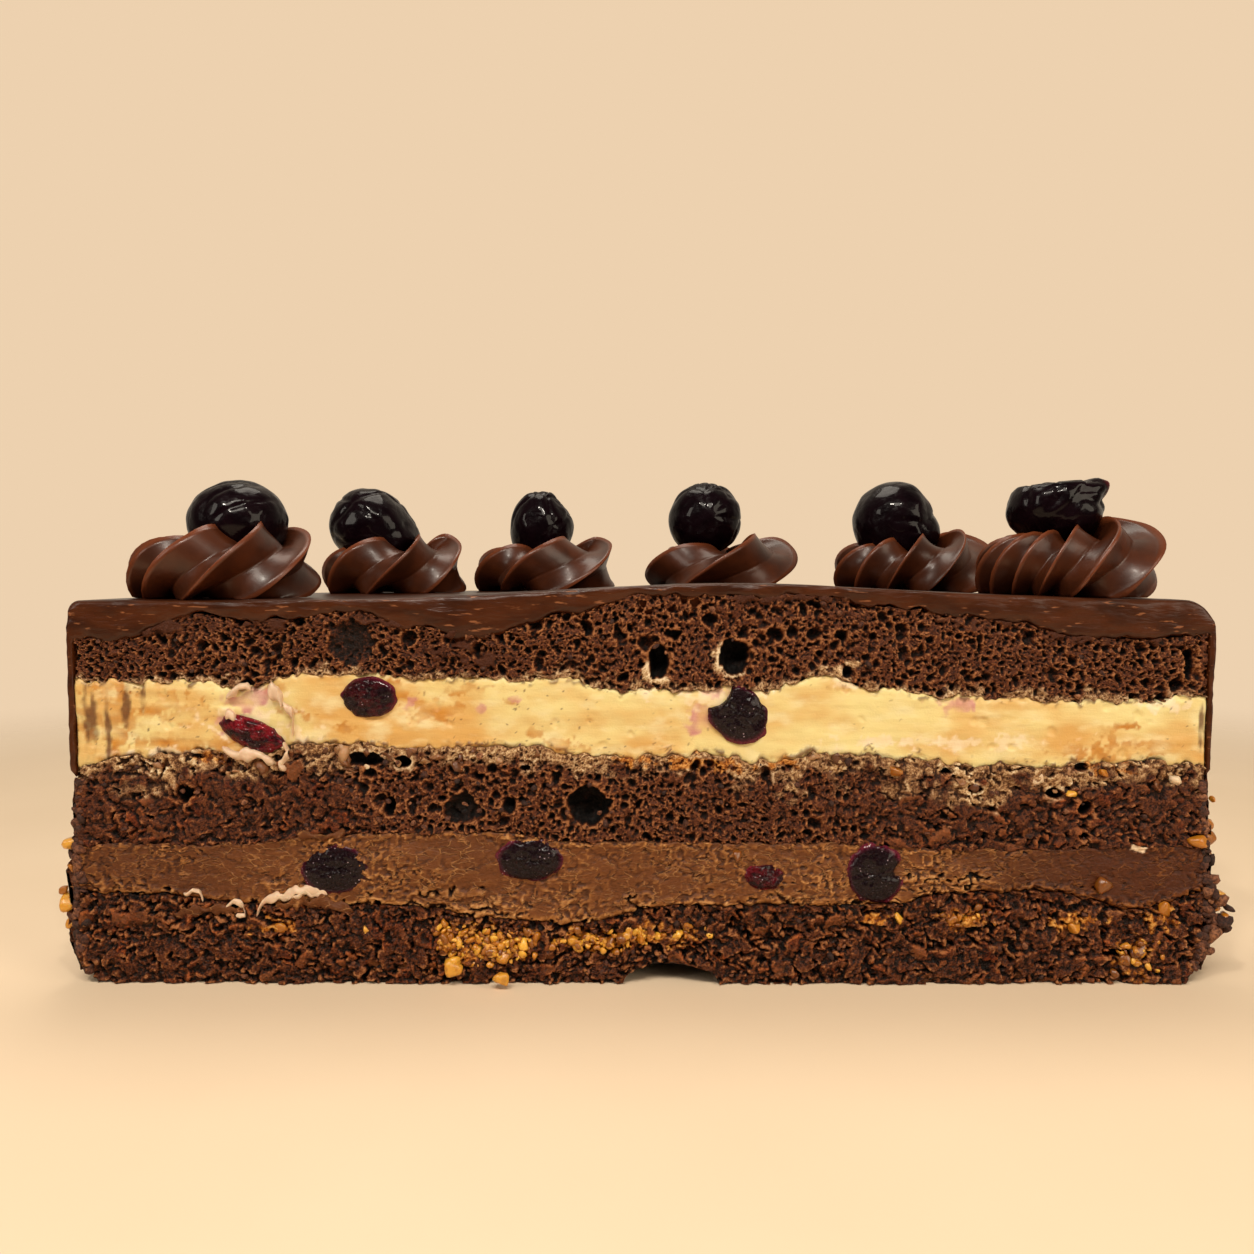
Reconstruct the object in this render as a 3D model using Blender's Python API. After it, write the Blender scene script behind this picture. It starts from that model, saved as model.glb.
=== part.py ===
"""Half of a round sour cherry cake: five layers under a chocolate glaze, with six piped swirls and cherries on top.

The cake was cut straight through its middle. The cut face looks to -Y, the round side to +Y, and the cake rests
on its flat base at z = 0. Lengths below are in millimetres, and MM turns them into metres.
"""

import math
import random

import bmesh
import bpy
from mathutils import Euler, Vector, noise

MM = 0.001

# The whole cake
CAKE_RADIUS = 110.0
CUT_Y = -55.5
GAP = 0.3
SEGMENTS = 72

# The glaze: its level at the rim, the low swell right of the middle, and the skin down the side
RIM_LEVEL = 74.3
SWELL_HEIGHT = 3.2
SWELL_X = 18.0
SWELL_SPREAD = 34.0
SKIN = 1.2
LAYER_RADIUS = CAKE_RADIUS - SKIN - GAP
FOOT_INSET = 3.0
FOOT_HEIGHT = 4.0
GLAZE_FOOT = 38.0
FILLET_MIDDLE = 4.2
FILLET_CHANGE = 1.8
FILLET_STEPS = 3
GLAZE_RINGS = (0.0, 0.25, 0.5, 0.75)

# Where the layers meet on the cut face, as (x, z), and the level that each settles to further in
BASE_TOP = [(-112, 18), (-94, 17.2), (-73, 15.4), (-46, 15.2), (-30, 12.6), (-14, 11.4), (8, 15.2),
            (48, 15.2), (60, 17.4), (78, 18), (95, 14.4), (112, 18)]
MOUSSE_TOP = [(-112, 27), (-80, 27.2), (-50, 29.3), (-30, 29.3), (-12, 27.6), (30, 27.2), (64, 26), (112, 27)]
MIDDLE_TOP = [(-112, 42), (-97, 44), (-84, 45.8), (-76, 43.8), (-66, 46.4), (-27, 46.4), (-8, 44), (12, 44.6),
              (21, 43.3), (40, 44.6), (76, 42.2), (90, 43.2), (112, 42.6)]
CREAM_TOP = [(-112, 59), (-84, 58.4), (-77, 57.3), (-65, 60), (-38, 59.4), (-15, 59), (-6, 57.2), (24, 57.2),
             (36, 60), (44, 57), (64, 55.7), (88, 54.7), (112, 56)]
SPONGE_TOP = [(-112, 66.7), (-97, 68), (-86, 71.8), (-73, 70.4), (-56, 72.2), (-40, 69), (-27, 68.8),
              (-13, 72.2), (0, 75.4), (38, 75.4), (44, 72.8), (56, 72.6), (70, 70.3), (84, 67.3), (97, 66.9),
              (112, 68.3)]
LEVELS = {"base": 15.5, "mousse": 27.5, "middle": 44.0, "cream": 57.5, "top": 71.5}
SETTLES_WITHIN = 26.0

# The grid of one layer: stations across the cut, and rows from the cut towards the back
STATION_STEP = 9.0
STATION_REACH = 112.5
ROW_DEPTHS = (0.0, 10.0, 26.0, 113.0)
RELIEF_ROWS = 3
CRUMB_RELIEF = 0.8

# Large bubbles in the sponges and the lifted arch under the base, as (x, z, width, height, depth)
BUBBLES = {
    "top_sponge": [(-55.4, 66.2, 9.4, 8.8, 3.8), (3.4, 62.0, 3.6, 6.4, 5.0), (18.0, 63.6, 5.8, 6.2, 5.0)],
    "middle_sponge": [(-9.7, 34.4, 8.6, 7.4, 5.5), (-34.6, 34.0, 6.3, 5.6, 3.5), (-88.0, 36.5, 3.4, 4.2, 4.0)],
}
ARCH = (6.0, 0.0, 19.0, 8.0, 9.0)

# Cherries that the knife cut through, as (name, x, z, width, height, tilt in degrees)
CUT_CHERRIES = [
    ("cream_cherry_1", -74.7, 48.6, 12.6, 5.6, 22),
    ("cream_cherry_2", -52.3, 55.6, 10.6, 8.0, 0),
    ("cream_cherry_3", 18.6, 52.6, 12.4, 10.4, 30),
    ("mousse_cherry_1", -59.0, 22.4, 13.4, 9.6, 0),
    ("mousse_cherry_2", -21.4, 24.2, 12.8, 8.6, 0),
    ("mousse_cherry_3", 23.9, 20.9, 8.0, 5.2, 0),
    ("mousse_cherry_4", 45.3, 21.4, 10.8, 11.6, 0),
]
CUT_CHERRY_PROUD = 0.8
CHERRY_UNEVEN = 0.16
CHERRY_DEPTH = 0.94

# The piped swirls in their ring: (angle, ring radius, swirl radius, height, start angle, turn share)
SWIRLS = [
    (167.2, 90.0, 19.6, 15.6, 10, 1.22),
    (134.7, 87.5, 18.6, 15.6, 0, 1.18),
    (106.5, 90.0, 19.8, 15.6, -12, 1.2),
    (76.1, 89.2, 20.4, 15.6, 2, 1.2),
    (43.0, 89.6, 19.6, 16.4, 12, 1.2),
    (12.6, 90.2, 19.4, 17.4, 0, 1.25),
]
FLUTES = 7
FLUTE_DEPTH = 0.34
ROPE_SIDES = FLUTES * 2
ROPE_STEPS = 14
ROPE_LIFT = 0.9
ROPE_JOINT = 0.95
START_SHARE = 0.15
START_THIN = 0.45
START_DIP = 1.6
END_SHARE = 0.28
END_THIN = 0.42
END_PULL = 0.28
END_RISE = 3.4
SHARP_ANGLE = 38

# The cherry on each swirl: (shift x, shift y, centre above the glaze, width, height, lean in degrees)
TOP_CHERRIES = [
    (3.0, -1.0, 15.8, 21.0, 17.2, 0),
    (-4.4, 0.0, 16.2, 21.4, 19.0, 14),
    (0.0, 0.0, 17.2, 16.6, 20.4, 8),
    (-2.9, 0.0, 18.8, 20.2, 19.8, 4),
    (-2.9, 0.0, 16.6, 21.8, 20.8, 16),
    (-1.5, 0.0, 18.0, 19.4, 14.0, -4),
]

# The crust of nuts and crumbs round the foot of the side
CRUST_FOOT = 3.2
CRUST_TOP = 35.8
CRUST_THICKNESS = 1.0
CRUST_OUTLINE = [(-0.4, 3.2), (0.8, 8.2), (0.8, 17.0), (0.0, 27.0)]
CRUST_WANDER = 1.4
CRUST_STEPS = 24
NUT_COUNT = 30
NUT_SIZE = (4.2, 6.6)

# Golden nuts that show on the cut face of the base, as (x, z, size)
FACE_NUTS = [(-37, 8.6, 4.6), (-32, 7.2, 4.2), (-27, 7.8, 4.6), (-23, 5.6, 3.8), (-13, 8.4, 3.2), (-6, 8.2, 3.2),
             (0, 8.8, 3.0), (9, 11.4, 3.4), (50, 12.6, 3.0), (60, 12.8, 3.2), (84, 11.0, 3.6), (-70, 11.0, 3.0),
             (-53, 10.2, 3.2)]


def smoothstep(value):
    value = min(1.0, max(0.0, value))
    return value * value * (3 - 2 * value)


def along(outline, x):
    """The height of a smooth line through an outline's points, at x."""
    for (x0, z0), (x1, z1) in zip(outline, outline[1:]):
        if x <= x1:
            return z0 + (z1 - z0) * smoothstep((x - x0) / (x1 - x0))
    return outline[-1][1]


def settled(outline, level):
    """A surface that follows an outline on the cut face and settles to one level further in."""
    def height(x, depth):
        return level + (along(outline, x) - level) * (1 - smoothstep(depth / SETTLES_WITHIN))
    return height


def glaze_level(x, depth):
    """The top of the glaze, depth being the distance behind the cut face."""
    away = (x - SWELL_X) ** 2 + (0.8 * depth) ** 2
    return RIM_LEVEL + SWELL_HEIGHT * math.exp(-away / (2 * SWELL_SPREAD ** 2))


def material(name, colour, roughness):
    made = bpy.data.materials.new(name)
    made.use_nodes = True
    shader = made.node_tree.nodes["Principled BSDF"]
    shader.inputs["Base Color"].default_value = (*colour, 1)
    shader.inputs["Roughness"].default_value = roughness
    return made


def clear_scene():
    for obj in list(bpy.data.objects):
        bpy.data.objects.remove(obj)


def add_object(name, points, faces, look=None, smooth=True):
    """A mesh object from points in millimetres, all in triangles, because a cut needs flat faces."""
    mesh = bpy.data.meshes.new(name)
    mesh.from_pydata([Vector(p) * MM for p in points], [], faces)
    made = bmesh.new()
    made.from_mesh(mesh)
    bmesh.ops.recalc_face_normals(made, faces=made.faces)
    bmesh.ops.triangulate(made, faces=made.faces)
    made.to_mesh(mesh)
    made.free()
    obj = bpy.data.objects.new(name, mesh)
    bpy.context.scene.collection.objects.link(obj)
    if look:
        mesh.materials.append(look)
    if smooth:
        mesh.shade_smooth()
    return obj


def boolean(obj, others, operation):
    """Joins or cuts obj with other objects, applies the result and removes them.

    The manifold solver keeps a closed mesh closed, where the exact one leaves slits along shared facets.
    """
    group = bpy.data.collections.new(obj.name + "_" + operation.lower())
    bpy.context.scene.collection.children.link(group)
    for other in others:
        bpy.context.scene.collection.objects.unlink(other)
        group.objects.link(other)
    modifier = obj.modifiers.new(operation.lower(), "BOOLEAN")
    modifier.operation = operation
    modifier.solver = "MANIFOLD"
    modifier.operand_type = "COLLECTION"
    modifier.collection = group
    apply_modifiers(obj)
    for other in list(group.objects):
        bpy.data.objects.remove(other)
    bpy.data.collections.remove(group)


def apply_modifiers(obj):
    graph = bpy.context.evaluated_depsgraph_get()
    looks = list(obj.data.materials)
    done = bpy.data.meshes.new_from_object(obj.evaluated_get(graph))
    obj.modifiers.clear()
    obj.data = done
    done.materials.clear()
    for look in looks:
        done.materials.append(look)
    for face in done.polygons:
        face.material_index = 0


def keep_largest(obj):
    """Drops the loose scraps that a cut leaves, which are far smaller than the piece."""
    work = bmesh.new()
    work.from_mesh(obj.data)
    left = set(work.faces)
    islands = []
    while left:
        island, edge = [], [left.pop()]
        while edge:
            face = edge.pop()
            island.append(face)
            near = {other for side in face.edges for other in side.link_faces} & left
            left -= near
            edge.extend(near)
        islands.append(island)
    islands.sort(key=lambda island: sum(face.calc_area() for face in island))
    for island in islands[:-1]:
        bmesh.ops.delete(work, geom=island, context="FACES")
    work.to_mesh(obj.data)
    work.free()


def drum(name, radius, low, high):
    """A drum round the cake's middle, with the cake's narrower foot."""
    foot = radius - FOOT_INSET
    rings = [(foot, low), (foot, 0.0), (radius, FOOT_HEIGHT), (radius, high)]
    points, faces = [], []
    for ring_radius, z in rings:
        for i in range(SEGMENTS):
            turn = math.tau * i / SEGMENTS
            points.append((ring_radius * math.cos(turn), CUT_Y + ring_radius * math.sin(turn), z))
    for k in range(len(rings) - 1):
        for i in range(SEGMENTS):
            j = (i + 1) % SEGMENTS
            a, b = k * SEGMENTS, (k + 1) * SEGMENTS
            faces.append((a + i, a + j, b + j, b + i))
    faces.append(tuple(reversed(range(SEGMENTS))))
    faces.append(tuple(range((len(rings) - 1) * SEGMENTS, len(rings) * SEGMENTS)))
    return add_object(name, points, faces)


def layer(name, low, high, look, face_rows=1, relief=0.0, seed=0, ahead=0.0, radius=LAYER_RADIUS):
    """One layer of the half cake, between two surfaces, with crumb relief on its cut face."""
    count = int(2 * STATION_REACH / STATION_STEP) + 1
    stations = [-STATION_REACH + STATION_STEP * i for i in range(count)]
    points, faces = [], []

    def add(x, y, z):
        points.append((x, y, z))
        return len(points) - 1

    def front_y(x, z):
        offset = noise.noise(Vector((x * 0.23, seed * 7.3, z * 0.31)))
        return CUT_Y - ahead + relief * offset

    front = []
    for k in range(face_rows + 1):
        row = []
        for x in stations:
            z = (low(x, 0) + GAP / 2) + (high(x, 0) - low(x, 0) - GAP) * k / face_rows
            row.append(add(x, front_y(x, z), z))
        front.append(row)
    tops, bottoms = [front[-1]], [front[0]]
    for depth in ROW_DEPTHS if ahead else ROW_DEPTHS[1:]:
        tops.append([add(x, CUT_Y + depth, high(x, depth) - GAP / 2) for x in stations])
        bottoms.append([add(x, CUT_Y + depth, low(x, depth) + GAP / 2) for x in stations])

    def sheet(rows, other_way=False):
        """Triangles between rows, split the same way on both sides of a joint, so that they stay a gap apart."""
        for near, far in zip(rows, rows[1:]):
            for i in range(count - 1):
                a, b, c, d = near[i], near[i + 1], far[i + 1], far[i]
                faces.extend([(a, b, d), (b, c, d)] if other_way else [(a, b, c), (a, c, d)])

    sheet(front)
    sheet(tops)
    sheet(bottoms[::-1], other_way=True)
    sheet([bottoms[-1], tops[-1]])
    for i in (0, -1):
        column = [row[i] for row in front] + [row[i] for row in tops[1:]]
        column += [row[i] for row in reversed(bottoms[1:])]
        faces.append(tuple(column))
    made = add_object(name, points, faces, look, smooth=False)
    boolean(made, [drum("drum", radius, -10, 110)], "INTERSECT")
    return made


def blob(name, centre, size, rings=6, sides=10, seed=0, rough=0.06, turn=(0, 0, 0), look=None):
    """A rounded lump, a little uneven, with its poles up and down before it is turned."""
    rotation = Euler([math.radians(a) for a in turn]).to_matrix()
    points, faces = [], []

    def place(direction):
        uneven = 1 + rough * noise.noise(direction * 1.7 + Vector((seed * 3.1, seed * 1.7, 0)))
        reach = Vector(direction[i] * size[i] / 2 * uneven for i in range(3))
        points.append(Vector(centre) + rotation @ reach)

    place(Vector((0, 0, -1)))
    for k in range(1, rings):
        up = -math.cos(math.pi * k / rings)
        out = math.sin(math.pi * k / rings)
        for i in range(sides):
            turn_at = math.tau * i / sides
            place(Vector((out * math.cos(turn_at), out * math.sin(turn_at), up)))
    place(Vector((0, 0, 1)))
    last = len(points) - 1
    for i in range(sides):
        j = (i + 1) % sides
        faces.append((0, 1 + j, 1 + i))
        faces.append((last, last - sides + i, last - sides + j))
        for k in range(rings - 2):
            a, b = 1 + k * sides, 1 + (k + 1) * sides
            faces.append((a + i, a + j, b + j, b + i))
    return add_object(name, points, faces, look)


def cut_cherry(name, x, z, width, height, tilt, look):
    """A cherry cut by the knife, its cut side only a touch proud of the cake's."""
    made = cherry_pocket(name, x, z, width, height, tilt, 0.0)
    made.data.materials.append(look)
    for vert in made.data.vertices:
        ahead = CUT_Y * MM - vert.co.y
        if ahead > 0:
            vert.co.y += ahead * (1 - CUT_CHERRY_PROUD / (0.5 * width))
    return made


def cherry_pocket(name, x, z, width, height, tilt, grow):
    """The whole cherry, grown by a gap all round, which its layers are hollowed by."""
    size = (width + 2 * grow, height + 2 * grow, width + 2 * grow)
    return blob(name, (x, CUT_Y, z), size, rings=6, sides=10, seed=abs(x), rough=0.1, turn=(90, -tilt, 0))


def rope_centre(swirl, t):
    """The middle of the piped rope at t from 0 to 1, from the swirl's centre, and its radius and turn."""
    _, _, radius, height, start, turns = swirl
    thick = height / 2
    turn = math.radians(start) + math.tau * turns * t
    begun = smoothstep(t / START_SHARE)
    ending = smoothstep((t - 1 + END_SHARE) / END_SHARE)
    coil = (radius - thick) * (1 - END_PULL * ending)
    rise = thick * ROPE_LIFT + END_RISE * ending - START_DIP * (1 - begun)
    taper = (1 - START_THIN * (1 - begun)) * (1 - END_THIN * ending)
    return Vector((coil * math.cos(turn), coil * math.sin(turn), rise)), thick * taper, turn


def rope(name, swirl, place, first, last, look):
    """A stretch of the fluted rope, from one share of its length to another.

    The star tip keeps its heading as it goes round, so the flutes wind round the rope. Where two stretches
    join, their ends narrow a little, so that each ends inside the other.
    """
    points, faces, rings = [], [], []
    steps = round(ROPE_STEPS * (last - first))
    joined = {0: first > 0, steps: last < 1}

    def frame(t):
        ahead = (rope_centre(swirl, t + 0.01)[0] - rope_centre(swirl, t - 0.01)[0]).normalized()
        out = ahead.cross(Vector((0, 0, 1))).normalized()
        return ahead, out, out.cross(ahead)

    for k in range(steps + 1):
        t = first + (last - first) * k / steps
        centre, thick, turn = rope_centre(swirl, t)
        thick *= ROPE_JOINT if joined.get(k) else 1
        _, out, up = frame(t)
        ring = []
        for i in range(ROPE_SIDES):
            heading = math.tau * i / ROPE_SIDES - turn
            reach = thick * (1 - FLUTE_DEPTH * (i % 2))
            points.append(place + centre + out * (reach * math.sin(heading)) + up * (reach * math.cos(heading)))
            ring.append(len(points) - 1)
        rings.append(ring)
    for near, far in zip(rings, rings[1:]):
        for i in range(ROPE_SIDES):
            j = (i + 1) % ROPE_SIDES
            faces.append((near[i], near[j], far[j], far[i]))
    for ring, t, sign in ((rings[0], first, -1), (rings[-1], last, 1)):
        centre, thick, _ = rope_centre(swirl, t)
        points.append(place + centre + frame(t)[0] * (sign * thick * 0.5))
        for i in range(ROPE_SIDES):
            faces.append((ring[i], ring[(i + 1) % ROPE_SIDES], len(points) - 1))
    return add_object(name, points, faces, look)


def swirl_place(swirl):
    """The point on the glaze under a swirl's middle."""
    angle, ring = math.radians(swirl[0]), swirl[1]
    x, depth = ring * math.cos(angle), ring * math.sin(angle)
    return Vector((x, CUT_Y + depth, glaze_level(x, depth)))


def top_cherry(name, swirl, cherry, look, grow=0.0):
    """The cherry pressed into the middle of a swirl."""
    shift_x, shift_y, lift, width, height, lean = cherry
    centre = swirl_place(swirl) + Vector((shift_x, shift_y, lift))
    size = (width + 2 * grow, width * CHERRY_DEPTH + 2 * grow, height + 2 * grow)
    return blob(name, centre, size, 7, 12, swirl[0], CHERRY_UNEVEN, (0, lean, 0), look)


def rest_on_glaze(obj):
    """Flattens what would sink into the glaze, a gap above it."""
    for vert in obj.data.vertices:
        x, y, z = vert.co / MM
        vert.co.z = max(z, glaze_level(x, y - CUT_Y) + GAP) * MM


def make_swirl(number, swirl, cherry, look, cherry_look):
    place = swirl_place(swirl)
    made = rope(f"swirl_{number}", swirl, place, 0.0, 0.55, look)
    end = rope("rope_end", swirl, place, 0.5, 1.0, look)
    boolean(made, [end], "UNION")
    rest_on_glaze(made)
    boolean(made, [top_cherry("pocket", swirl, cherry, None, GAP)], "DIFFERENCE")
    keep_largest(made)
    made.data.set_sharp_from_angle(angle=math.radians(SHARP_ANGLE))
    top_cherry(f"top_cherry_{number}", swirl, cherry, cherry_look)


def make_glaze(sponge_top, look):
    """The poured glaze: a domed top, a soft rim and a thin skin down the side, over the layers."""
    turns = SEGMENTS // 2
    points, faces = [], []
    grid = []
    for i in range(turns + 1):
        turn = math.pi * i / turns
        fillet = FILLET_MIDDLE + FILLET_CHANGE * math.cos(turn)
        spoke = []
        stops = [(share * (CAKE_RADIUS - fillet), 0.0) for share in GLAZE_RINGS]
        for k in range(FILLET_STEPS + 1):
            bend = math.pi / 2 * k / FILLET_STEPS
            stops.append((CAKE_RADIUS - fillet + fillet * math.sin(bend), fillet * (1 - math.cos(bend))))
        stops.append((CAKE_RADIUS, None))
        for radius, drop in stops:
            x, depth = radius * math.cos(turn), radius * math.sin(turn)
            z = GLAZE_FOOT if drop is None else glaze_level(x, depth) - drop
            points.append((x, CUT_Y + depth, z))
            spoke.append(len(points) - 1)
        points.append((0, CUT_Y, GLAZE_FOOT))
        spoke.append(len(points) - 1)
        grid.append(spoke)
    for near, far in zip(grid, grid[1:]):
        for k in range(len(near) - 1):
            faces.append((near[k], near[k + 1], far[k + 1], far[k]))
    faces.append(tuple(grid[0] + grid[-1][-2:0:-1]))
    made = add_object("chocolate_glaze", points, faces, look)
    work = bmesh.new()
    work.from_mesh(made.data)
    bmesh.ops.remove_doubles(work, verts=work.verts, dist=1e-6)
    bmesh.ops.dissolve_degenerate(work, edges=work.edges, dist=1e-7)
    bmesh.ops.recalc_face_normals(work, faces=work.faces)
    work.to_mesh(made.data)
    work.free()

    def core_top(x, depth):
        return sponge_top(x, depth) + GAP

    def core_foot(x, depth):
        return GLAZE_FOOT - 20

    core = layer("core", core_foot, core_top, None, ahead=5.0, radius=LAYER_RADIUS + GAP)
    boolean(made, [core], "DIFFERENCE")


def make_crust(look):
    """Nuts and crumbs pressed on round the foot of the side: a thin band with chunks fused to it."""
    inner = CAKE_RADIUS - SKIN + GAP
    points, faces, rings = [], [], []
    chance = random.Random(5)
    for i in range(CRUST_STEPS + 1):
        turn = math.pi * i / CRUST_STEPS
        outer = inner + CRUST_THICKNESS + 0.5 * noise.noise(Vector((turn * 6, 2.0, 0)))
        top = CRUST_TOP + CRUST_WANDER * noise.noise(Vector((turn * 9, 0.4, 1)))
        profile = [(inner - 1, CRUST_FOOT), *((outer + more, z) for more, z in CRUST_OUTLINE)]
        profile += [(outer - 0.3, top), (inner - 1, top)]
        ring = []
        for radius, z in profile:
            points.append((radius * math.cos(turn), CUT_Y + radius * math.sin(turn), z))
            ring.append(len(points) - 1)
        rings.append(ring)
    sides = len(rings[0])
    for near, far in zip(rings, rings[1:]):
        for k in range(sides):
            j = (k + 1) % sides
            faces.append((near[k], near[j], far[j], far[k]))
    faces.append(tuple(rings[0]))
    faces.append(tuple(reversed(rings[-1])))
    made = add_object("nut_crust", points, faces, look, smooth=False)
    nuts = []
    for i in range(NUT_COUNT):
        turn = math.pi * (i + 0.5 + 0.3 * chance.uniform(-1, 1)) / NUT_COUNT
        share = (i * 0.618 + 0.1 * chance.random()) % 1.0
        z = CRUST_FOOT + NUT_SIZE[1] / 2 + (CRUST_TOP - CRUST_FOOT - NUT_SIZE[1]) * share
        size = chance.uniform(*NUT_SIZE)
        radius = inner + CRUST_THICKNESS + size * 0.2
        spot = (radius * math.cos(turn), CUT_Y + radius * math.sin(turn), z)
        tumble = [chance.uniform(0, 180) for _ in range(3)]
        extent = (size, size * chance.uniform(0.6, 0.9), size * chance.uniform(0.7, 1.0))
        nuts.append(blob(f"nut_{i}", spot, extent, rings=3, sides=5, seed=i, rough=0.3, turn=tumble))
    boolean(made, nuts, "UNION")
    boolean(made, [drum("inside", inner, -5, 80)], "DIFFERENCE")
    keep_largest(made)


def bubbles(places):
    """The large bubbles that the knife opened in one sponge."""
    return [
        blob(f"bubble_{i}", (x, CUT_Y - 1, z), (width, 2 * depth, height), rings=5, sides=8, seed=i, rough=0.1)
        for i, (x, z, width, height, depth) in enumerate(places)
    ]


def add_face_nuts(base):
    """Fuses the golden nuts that stick out of the base's cut face."""
    chance = random.Random(11)
    nuts = []
    for i, (x, z, size) in enumerate(FACE_NUTS):
        tumble = [chance.uniform(0, 180) for _ in range(3)]
        extent = (size, size * 0.8, size * 0.85)
        spot = (x, CUT_Y - 0.2, z)
        nuts.append(blob(f"face_nut_{i}", spot, extent, rings=3, sides=5, seed=i, rough=0.3, turn=tumble))
    boolean(base, nuts, "UNION")


def main():
    clear_scene()
    looks = {
        "glaze": material("chocolate_glaze", (0.045, 0.017, 0.008), 0.28),
        "sponge": material("chocolate_sponge", (0.07, 0.026, 0.012), 0.9),
        "cream": material("vanilla_cream", (0.93, 0.63, 0.22), 0.45),
        "mousse": material("chocolate_mousse", (0.15, 0.055, 0.02), 0.6),
        "swirl": material("piped_chocolate", (0.075, 0.026, 0.012), 0.38),
        "cherry": material("sour_cherry", (0.012, 0.002, 0.003), 0.12),
        "crust": material("nut_crust", (0.22, 0.08, 0.02), 0.75),
    }
    floor = settled([(-112, -GAP / 2), (112, -GAP / 2)], -GAP / 2)
    base_top = settled(BASE_TOP, LEVELS["base"])
    mousse_top = settled(MOUSSE_TOP, LEVELS["mousse"])
    middle_top = settled(MIDDLE_TOP, LEVELS["middle"])
    cream_top = settled(CREAM_TOP, LEVELS["cream"])
    sponge_top = settled(SPONGE_TOP, LEVELS["top"])

    base = layer("base_sponge", floor, base_top, looks["sponge"], RELIEF_ROWS, CRUMB_RELIEF, 1)
    mousse = layer("chocolate_mousse", base_top, mousse_top, looks["mousse"])
    middle = layer("middle_sponge", mousse_top, middle_top, looks["sponge"], RELIEF_ROWS, CRUMB_RELIEF, 2)
    cream = layer("vanilla_cream", middle_top, cream_top, looks["cream"])
    top = layer("top_sponge", cream_top, sponge_top, looks["sponge"], RELIEF_ROWS, CRUMB_RELIEF, 3)
    make_glaze(sponge_top, looks["glaze"])
    make_crust(looks["crust"])

    add_face_nuts(base)
    x, z, width, height, depth = ARCH
    boolean(base, [blob("arch", (x, CUT_Y, z), (width, 2 * depth, height), 6, 10)], "DIFFERENCE")
    for piece in (base, mousse, middle, cream, top):
        hollows = [cherry_pocket(f"pocket_{name}", *shape, GAP) for name, *shape in CUT_CHERRIES]
        if piece in (top, middle):
            hollows += bubbles(BUBBLES[piece.name])
        boolean(piece, hollows, "DIFFERENCE")
        keep_largest(piece)
    for name, *shape in CUT_CHERRIES:
        cut_cherry(name, *shape, looks["cherry"])

    for number, (swirl, cherry) in enumerate(zip(SWIRLS, TOP_CHERRIES), start=1):
        make_swirl(number, swirl, cherry, looks["swirl"], looks["cherry"])


main()
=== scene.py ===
# %% [markdown]
# # Half of a sour cherry layer cake
# The cake was cut straight through its middle, so its whole inside shows on one flat face: three chocolate
# sponges, a yellow vanilla cream and a chocolate mousse, all under a poured chocolate glaze. Six piped
# swirls with a cherry each stand in a half ring on top, and crumbs and nuts are pressed on round the foot.
# Everything below is in millimetres and is turned into metres when a mesh is made.

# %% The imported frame
import math

import bmesh
import bpy
import numpy as np
from mathutils import Euler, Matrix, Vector


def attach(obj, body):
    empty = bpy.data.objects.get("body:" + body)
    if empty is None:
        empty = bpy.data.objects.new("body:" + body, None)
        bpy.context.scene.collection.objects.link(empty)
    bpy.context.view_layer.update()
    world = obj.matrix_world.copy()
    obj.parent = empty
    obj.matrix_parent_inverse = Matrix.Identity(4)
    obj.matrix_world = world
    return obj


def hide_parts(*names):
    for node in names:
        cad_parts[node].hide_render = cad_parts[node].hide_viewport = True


MM = 0.001
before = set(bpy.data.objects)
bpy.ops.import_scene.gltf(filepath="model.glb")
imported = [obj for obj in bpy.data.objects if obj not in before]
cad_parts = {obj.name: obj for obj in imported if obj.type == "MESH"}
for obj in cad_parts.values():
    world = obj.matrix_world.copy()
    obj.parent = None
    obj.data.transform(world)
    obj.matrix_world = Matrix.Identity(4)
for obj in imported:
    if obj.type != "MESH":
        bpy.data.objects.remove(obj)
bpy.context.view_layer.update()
scene = bpy.context.scene
print("frame:", len(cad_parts), "nodes")

# %% [markdown]
# ## The cake's sizes
# These are the driving sizes of the model's source. The cut face looks to -Y and lies at CUT_Y, the round
# side looks to +Y, and the cake rests on z = 0. Each layer meets the next along a line across the cut face,
# given by a few points that are joined smoothly. Behind the face the line settles to one level.

# %% Sizes
CAKE_RADIUS = 110.0
CUT_Y = -55.5
RIM_LEVEL, SWELL_HEIGHT, SWELL_X, SWELL_SPREAD = 74.3, 3.2, 18.0, 34.0
SKIN = 1.2
LAYER_RADIUS = CAKE_RADIUS - SKIN - 0.3
FOOT_INSET, FOOT_HEIGHT = 3.0, 4.0
FILLET_MIDDLE, FILLET_CHANGE = 4.2, 1.8
SETTLES_WITHIN = 26.0

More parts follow.
